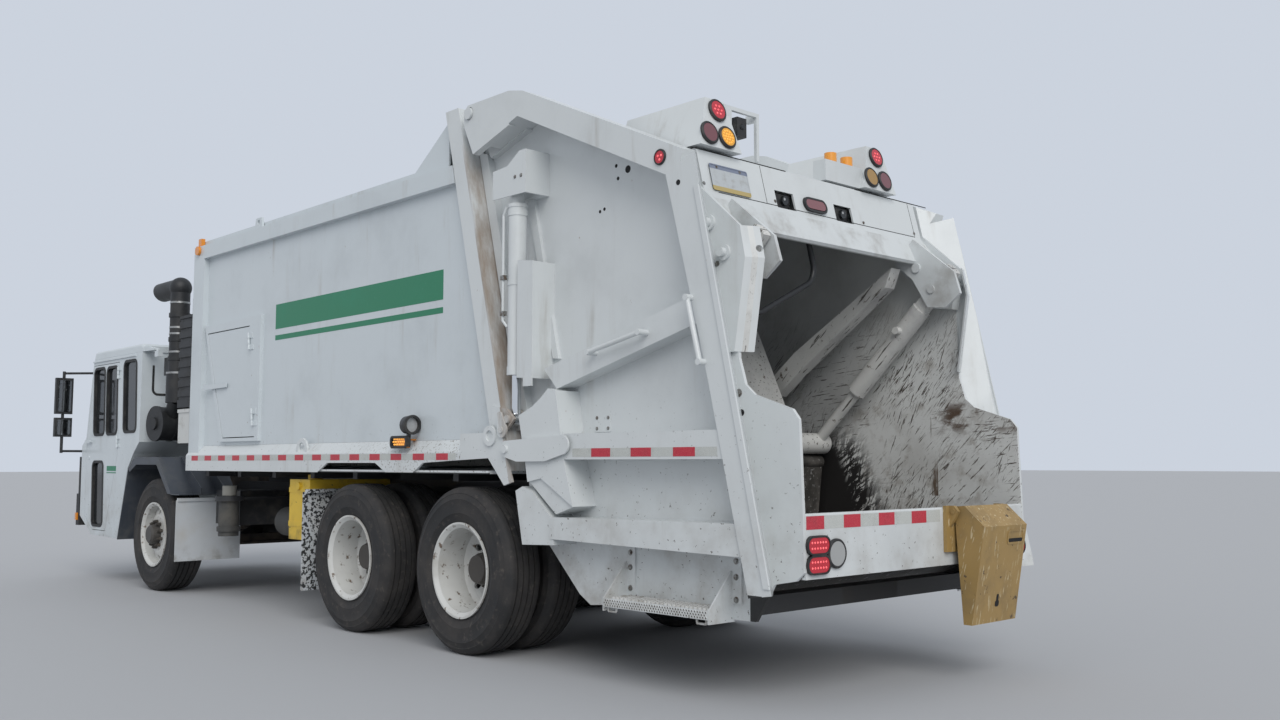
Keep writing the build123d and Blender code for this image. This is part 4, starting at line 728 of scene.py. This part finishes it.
hopper_black = finish("hopper_black", (0.045, 0.042, 0.038), 0.5)
cover(hopper_black, pattern(hopper_black, 5, 0.42, 0.7), (0.12, 0.11, 0.10), 0.75)
cover(hopper_black, scores(hopper_black, 40, 0.60, 0.66, 0, 0.1), (0.26, 0.255, 0.25), 0.5)
bump(hopper_black, pattern(hopper_black, 45, 0.3, 0.7), 0.002)
dress(hopper_black, "hopper_floor", "packer_blade")

packer_grey = finish("packer_grey", (0.64, 0.64, 0.62), 0.5)
panel_grey = finish("panel_grey", (0.46, 0.46, 0.45), 0.5)
for grey, worn_value in ((packer_grey, 0.42), (panel_grey, 0.30)):
    cover(grey, pattern(grey, 3, 0.45, 0.75), [worn_value] * 3, 0.7)
    cover(grey, pattern(grey, 18, 0.62, 0.70), (0.16, 0.135, 0.11), 0.8)
    cover(grey, scores(grey, 50, 0.62, 0.66, 0.78, 0.08), (0.10, 0.09, 0.08), 0.7)
    bump(grey, pattern(grey, 45, 0.3, 0.7), 0.0015)
dress(packer_grey, "packer_barrels", "packer_struts", "packer_carriage")
dress(panel_grey, "ejector_panel")

polished_rod = finish("polished_rod", (0.72, 0.73, 0.74), 0.14, metallic=1.0)
cover(polished_rod, pattern(polished_rod, 20, 0.62, 0.75), (0.3, 0.29, 0.27), 0.5)
dress(polished_rod, "lift_rods")

gate_tape = bmesh.new()
for sign in (1, -1):
    tape(gate_tape, on_side(sign * BEAM_Y), -1.264, -0.319, -0.156, 3, 1.222, 1.269, -2.21)
    front_end = [(-1.102, 1.222), (-1.262, 1.222), (-1.262, 1.269), (-1.102, 1.269)]
    plate(gate_tape, front_end, on_side(sign * BEAM_Y), *SILVER_LAYER, 1)
tape(gate_tape, on_end(SILL_X), 1.01, -0.2935, -0.137, 4, 0.870, 0.934, -0.14)
settle("gate_tape", gate_tape, "tailgate", tape_red, tape_silver, slot="white_paint")

# Small fittings of the tailgate's sides: drilled holes, drawn as near-black discs of painted shade, zinc-plated
# bolts with washers, an inspection plate and the turned lip that is welded to each post.
# A near-black that stands for painted shade inside holes, slots and perforations and along the header's folds,
# and for the dark joints between header panels.
shade_and_seam_dark = finish("shade_and_seam_dark", (0.008, 0.008, 0.009), 0.8)
cover(shade_and_seam_dark, pattern(shade_and_seam_dark, 30, 0.5, 0.7), (0.02, 0.018, 0.016), 0.9)
bolt_steel = finish("bolt_steel", (0.33, 0.33, 0.32), 0.4, metallic=0.7)
cover(bolt_steel, pattern(bolt_steel, 50, 0.45, 0.65), (0.16, 0.12, 0.09), 0.75)


def bolt(mesh, middle, out, radius=0.011, paint=0):
    """A washer and a hexagon head, out along a direction."""
    middle, out = Vector(middle), Vector(out).normalized()
    rod(mesh, middle - out * 0.001, middle + out * 0.002, radius * 1.5, sides=20, paint=paint)
    rod(mesh, middle + out * 0.002, middle + out * radius * 0.8, radius, sides=6, paint=paint)


fittings = bmesh.new()
HOLES = ((-1.271, 2.882, 0.011), (-1.287, 2.806, 0.011), (-1.170, 2.647, 0.010), (-1.132, 2.638, 0.010),
         (-2.217, 1.441, 0.017), (-1.370, 2.845, 0.022))
POST_LEAN = 0.2246  # how far the post's edge leans back over its height
LIP_REACH = ((0.002, 2.60), (0.002, 0.60), (0.040, 0.60), (0.034, 2.60))  # ahead of that edge, and height
header_out = (-1, 0, 0.249)
header_plane = on_end(-1.943, -1, 0.249, 2.635)
for sign in (1, -1):
    # The holes are near-black discs of painted shade.
    for x, z, radius in HOLES:
        rod(fittings, (x, sign * 1.034, z), (x, sign * 1.0358, z), radius, paint=1)
    rod(fittings, (-1.955, sign * 1.219, 2.636), (-1.955, sign * 1.2208, 2.636), 0.015, paint=1)
    bolt(fittings, (-2.199, sign * GATE_Y, 1.541), (0, sign, 0), 0.014)
    inspection_plate = rounded([(-1.231, 1.363), (-1.096, 1.363), (-1.096, 1.464), (-1.231, 1.464)], 0.006, 2)
    plate(fittings, inspection_plate, on_side(sign * GATE_Y), 0, 0.005, 2)
    for x in (-1.211, -1.116):
        for z in (1.383, 1.444):
            bolt(fittings, (x, sign * (GATE_Y + 0.005), z), (0, sign, 0), 0.007)
    for x in (-2.181, -1.404):
        for z in (0.700, 0.621, 0.508):
            bolt(fittings, (x, sign * 1.046, z), (0, sign, 0))
    for x, z in ((-1.968, 2.385), (-2.074, 2.214)):
        bolt(fittings, (x, sign * 1.055, z), (0, sign, 0), 0.010)
    for x in (-0.560, -0.620):
        bolt(fittings, (x, sign * 1.22, 2.915), (0, sign, 0), 0.008)
    lip = [(-2.037 - (2.9 - z) * POST_LEAN + ahead, z) for ahead, z in LIP_REACH]
    plate(fittings, lip, on_side(sign * 1.2185), 0, 0.010, 2)
for y, z in ((1.005, 2.671), (0.425, 2.662), (-0.403, 2.654), (-0.95, 2.66)):
    bolt(fittings, header_plane((y, z), 0), header_out, 0.007)
settle("tailgate_fittings", fittings, "tailgate", bolt_steel, shade_and_seam_dark, worn_enamel, slot="white_paint")

# Lift cylinders: each painted barrel carries three pressed clamps and a bent
# steel oil tube, which two bolted holders keep against the barrel's side.


def block(mesh, x, y, z, paint=0):
    """A box between pairs of limits."""
    middle = Vector([(low + high) / 2 for low, high in (x, y, z)])
    size = Vector([high - low for low, high in (x, y, z)])
    part = bmesh.new()
    bmesh.ops.create_cube(part, size=1, matrix=Matrix.Translation(middle) @ Matrix.Diagonal((*size, 1)))
    join(mesh, part, paint)


lift_kit = bmesh.new()
CLAMP = [(0.056, 0), (0.060, 0), (0.060, 0.022), (0.056, 0.022)]
OIL_TUBE = [(-0.455, 1.201, 2.745), (-0.425, 1.201, 2.70), (-0.425, 1.201, 2.05), (-0.455, 1.190, 2.01)]
for sign in (1, -1):
    for z in (2.262, 2.742, 1.745):
        lathe(lift_kit, CLAMP, (-0.500, sign * 1.150, z), (0, 0, 1), 32)
    tube = [(x, sign * y, z) for x, y, z in OIL_TUBE]
    for start, end in zip(tube, tube[1:]):
        rod(lift_kit, start, end, 0.009, sides=12)
    for z in (2.30, 2.08):
        block(lift_kit, (-0.447, -0.410), sorted((sign * 1.188, sign * 1.214)), (z, z + 0.028), 1)
settle("lift_tubes", lift_kit, "lift_barrels", worn_enamel, bolt_steel, slot="white_paint", smooth=40)

# Header over the hopper: one folded sheet with pressed seams, which carries
# the aluminium number plate on two bolts.
seams = bmesh.new()
# The seams are thin near-black strips: the three level ones, along the folds, are painted shade; the two
# upright ones are dark joints between panels.
for left, right, low, high, proud in ((-0.95, 0.90, 2.634, 2.638, 0.0012), (0.500, 0.503, 2.640, 2.862, 0.0008),
                                      (-0.952, -0.949, 2.640, 2.862, 0.0008), (0.27, 1.05, 2.866, 2.872, 0.001),
                                      (-1.17, -0.39, 2.866, 2.872, 0.001)):
    plate(seams, [(left, low), (right, low), (right, high), (left, high)], header_plane, -0.001, proud)
settle("header_seams", seams, "tailgate", shade_and_seam_dark, slot="black_plastic")

plate_blank = finish("plate_blank", (0.50, 0.53, 0.55), 0.4)
cover(plate_blank, pattern(plate_blank, 20, 0.45, 0.75), (0.40, 0.41, 0.41), 0.55)
cover(plate_blank, ramp(plate_blank, 2.7695, 2.7705), (0.20, 0.23, 0.31), 0.45)
cover(plate_blank, ramp(plate_blank, 2.6715, 2.6705), (0.48, 0.38, 0.16), 0.45)
rear_plate = bmesh.new()
outline = rounded([(0.640, 2.645), (0.945, 2.645), (0.945, 2.797), (0.640, 2.797)], 0.012)
plate(rear_plate, outline, header_plane, 0.006, 0.008)
band(rear_plate, outline, header_plane, -0.006, 0, 0.006, 0.010)
for y in (0.70, 0.885):
    bolt(rear_plate, header_plane((y, 2.782), 0.0075), header_out, 0.006, 1)
settle("rear_plate", rear_plate, "tailgate", plate_blank, bolt_steel, slot="white_paint")

# Steps: a bright plate of raised studs and holes on each side of the gate,
# with a perforated lip and two wire loops welded under it. The holes in the
# studs and the lip are near-black discs of painted shade.
step_metal = finish("step_metal", (0.60, 0.60, 0.585), 0.4, metallic=0.3)
cover(step_metal, pattern(step_metal, 14, 0.45, 0.7), (0.33, 0.31, 0.28), 0.65)
step_tread = bmesh.new()
TREAD_Z = 0.460
STUD = [(0.0070, 0.0), (0.0130, 0.0), (0.0100, 0.013), (0.0070, 0.013)]
LOOP = ((-0.035, 0.425), (-0.030, 0.396), (0.030, 0.396), (0.035, 0.425))
LIP_HOLE = [(0.0045, 0), (0.0072, 0), (0.0060, 0.0025), (0.0045, 0.0025)]
for sign in (1, -1):
    for row in range(5):
        for column in range(24):
            x, y = -2.120 + (column + 0.5 * (row % 2)) * 0.0305, sign * (1.060 + row * 0.030)
            lathe(step_tread, STUD, (x, y, TREAD_Z), (0, 0, 1), 8)
            rod(step_tread, (x, y, TREAD_Z + 0.0005), (x, y, TREAD_Z + 0.0105), 0.0071, sides=8, paint=1)
    for row, z in enumerate((0.430, 0.443, 0.456)):
        for column in range(40):
            x = -2.135 + (column + 0.5 * (row % 2)) * 0.019
            lathe(step_tread, LIP_HOLE, (x, sign * 1.218, z), (0, sign, 0), 8)
            rod(step_tread, (x, sign * 1.2175, z), (x, sign * 1.2187, z), 0.0046, sides=8, paint=1)
    for x in (-2.085, -1.425):
        loop = [(x + reach, sign * 1.196, z) for reach, z in LOOP]
        for start, end in zip(loop, loop[1:]):
            rod(step_tread, start, end, 0.006, sides=10)
settle("step_tread", step_tread, "tailgate", step_metal, shade_and_seam_dark, slot="hopper_steel")

# Rear lamps: red and amber lenses with their diodes in black rubber
# grommets, two amber strobes, clear lamps on the sill, and behind the
# header's windows two work lamps and a small camera.
UPPER_LAMPS = {  # y, z: lens and its diodes
    (0.847, 3.108): "red", (0.946, 2.958): "dark", (0.805, 2.958): "amber",
    (-0.618, 3.108): "red", (-0.519, 2.958): "ochre", (-0.660, 2.958): "dark"}
lens_red = finish("lens_red", (0.55, 0.012, 0.03), 0.18, coat=0.5)
cover(lens_red, pattern(lens_red, 60, 0.5, 0.7), (0.42, 0.01, 0.02), 0.3)
LENS_COLOURS = {"dark": (0.17, 0.045, 0.055), "amber": (0.85, 0.40, 0.02), "ochre": (0.36, 0.20, 0.035)}
for (y, z), kind in UPPER_LAMPS.items():
    if kind in LENS_COLOURS:
        lens = zone(lens_red, y=(y - 0.06, y + 0.06), z=(z - 0.07, z + 0.07))
        cover(lens_red, lens, LENS_COLOURS[kind], 0.2)
strobes = zone(lens_red, x=(-1.9, -1.79), y=(-0.42, -0.17), z=(2.88, 3.09))
cover(lens_red, strobes, (0.90, 0.36, 0.04), 0.3)
header_lamp = zone(lens_red, y=(-0.03, 0.16), z=(2.64, 2.74))
cover(lens_red, header_lamp, (0.22, 0.075, 0.085), 0.25)
REVERSING = (0.786, 0.748)  # y and z of the clear lamps on the sill
for sign in (1, -1):
    y = sign * REVERSING[0]
    clear_lamp = zone(lens_red, x=(-2.63, -2.59), y=(y - 0.061, y + 0.061), z=(0.68, 0.82))
    cover(lens_red, clear_lamp, (0.38, 0.39, 0.39), 0.15)
dress(lens_red, "rear_lamps")

grommets, diodes = bmesh.new(), bmesh.new()
LAMP_SLOPE = 0.066 / 0.290  # of the roof's end, which the upper lamps stand on
lamp_axis, across = Vector((-1, 0, LAMP_SLOPE)).normalized(), Vector((0, 1, 0))
up = lamp_axis.cross(across).normalized()
UPPER_GROMMET = [(0.0526, 0.003), (0.0655, 0.003), (0.0655, 0.013), (0.058, 0.019), (0.0526, 0.017)]
SILL_GROMMET = [(0.0606, 0), (0.073, 0), (0.073, 0.012), (0.067, 0.018), (0.0606, 0.016)]
SIDE_GROMMET = [(0.034, 0), (0.043, 0), (0.043, 0.008), (0.038, 0.012), (0.034, 0.01)]
DIODE_RINGS = {"red": ((0, 1), (0.026, 6)), "amber": ((0, 1), (0.018, 6), (0.036, 12))}  # radius, count


def diode(middle, out, radius, paint):
    """One bright dot that stands a little off its lens."""
    rod(diodes, middle, Vector(middle) + Vector(out) * 0.003, radius, sides=12, tip=radius * 0.6, paint=paint)


for (y, z), kind in UPPER_LAMPS.items():
    middle = Vector((-1.930 + (z - 2.885) * LAMP_SLOPE, y, z))
    lathe(grommets, UPPER_GROMMET, middle, lamp_axis)
    for radius, count in DIODE_RINGS.get(kind, ()):
        for index in range(count):
            turn = 2 * pi * index / count
            place = middle + lamp_axis * 0.0162 + (across * cos(turn) + up * sin(turn)) * radius
            diode(place, lamp_axis, 0.0065, 1 if kind == "amber" else 0)
oval = rounded([(-0.023, 2.660), (0.157, 2.660), (0.157, 2.720), (-0.023, 2.720)], 0.0295)
band(grommets, oval, header_plane, 0.001, 0.013, 0, 0.019)
for sign in (1, -1):
    lathe(grommets, SILL_GROMMET, (SILL_X, sign * REVERSING[0], REVERSING[1]), (-1, 0, 0))
    left, right = sorted((sign * 0.853, sign * 1.011))
    for z in (0.701, 0.794):
        slot = rounded([(left, z - 0.037), (right, z - 0.037), (right, z + 0.037), (left, z + 0.037)], 0.0365)
        band(grommets, slot, on_end(SILL_X), 0.001, 0.010, 0, 0.019)
        for row in (-0.014, 0.014):
            for index in range(6):
                place = (SILL_X - 0.0152, sign * 0.932 + (index - 2.5) * 0.021, z + row)
                diode(place, (-1, 0, 0), 0.0065, 0)
    x, y, z = -1.823, sign * 1.22, 2.794
    lathe(grommets, SIDE_GROMMET, (x, y, z), (0, sign, 0))
    rod(diodes, (x, y, z), (x, y + sign * 0.008, z), 0.035, sides=32, paint=2)
    for turn in (0.5, 2.6, 4.7):
        diode((x + 0.014 * cos(turn), y + sign * 0.008, z + 0.014 * sin(turn)), (0, sign, 0), 0.007, 0)
settle("lamp_grommets", grommets, "tailgate", lamp_black, slot="black_plastic", smooth=40)
settle("lamp_diodes", diodes, "tailgate", glow_red, glow_amber, lens_red, slot="lamp_plastic", smooth=40)

rear_kit = bmesh.new()
block(rear_kit, (-1.875, -1.80), (0.595, 0.672), (3.005, 3.114))
rod(rear_kit, (-1.874, 0.634, 3.062), (-1.884, 0.634, 3.062), 0.018, tip=0.012, paint=2)
for low, high in ((0.258, 0.403), (-0.290, -0.140)):
    block(rear_kit, (-1.90, -1.80), (low, high), (2.640, 2.722))
    y, z = (low + high) / 2 - 0.02, 2.685
    rod(rear_kit, (-1.90, y, z), (-1.916, y, z), 0.030, tip=0.026, paint=2)
    # A small pale disc near the top of each lens is a painted glint.
    glint = (y + 0.008, z + 0.008)
    rod(rear_kit, (-1.916, *glint), (-1.917, *glint), 0.008, paint=1)
settle("rear_camera_and_work_lamps", rear_kit, "tailgate", lamp_black, lamp_clear, tinted, slot="black_plastic")

# Cart tipper: a welded steel face and bracket in ochre enamel, scuffed down
# to brown primer where carts are dragged over it, with a recessed latch slot
# and a keyhole, whose openings are near-black plates of painted shade.
tipper_ochre = finish("tipper_ochre", (0.36, 0.235, 0.083), 0.5)
cover(tipper_ochre, pattern(tipper_ochre, 5, 0.42, 0.72), (0.27, 0.185, 0.080), 0.65)
cover(tipper_ochre, pattern(tipper_ochre, 22, 0.62, 0.68), (0.10, 0.07, 0.045), 0.75)
cover(tipper_ochre, scores(tipper_ochre, 60, 0.61, 0.65, 1.3), (0.55, 0.45, 0.28), 0.6)
dress(tipper_ochre, "tipper_bracket", "tipper_face")
tipper_plane = on_end(-2.81, -1, -0.166, 0.845)
tipper_marks = bmesh.new()
for left, right, low, high, radius, proud in ((-0.478, -0.456, 0.405, 0.470, 0.010, 0.001),
                                              (-0.487, -0.447, 0.400, 0.436, 0.014, 0.0014),
                                              (-0.655, -0.510, 0.752, 0.772, 0.008, 0.002)):
    mark = rounded([(left, low), (right, low), (right, high), (left, high)], radius)
    plate(tipper_marks, mark, tipper_plane, -0.001, proud, 1)
recess = rounded([(-0.665, 0.745), (-0.500, 0.745), (-0.500, 0.815), (-0.665, 0.815)], 0.018)
band(tipper_marks, recess, tipper_plane, -0.006, 0.006, -0.001, 0.0035, 0)
settle("tipper_marks", tipper_marks, "cart_tipper", tipper_ochre, shade_and_seam_dark, slot="tipper_tan")
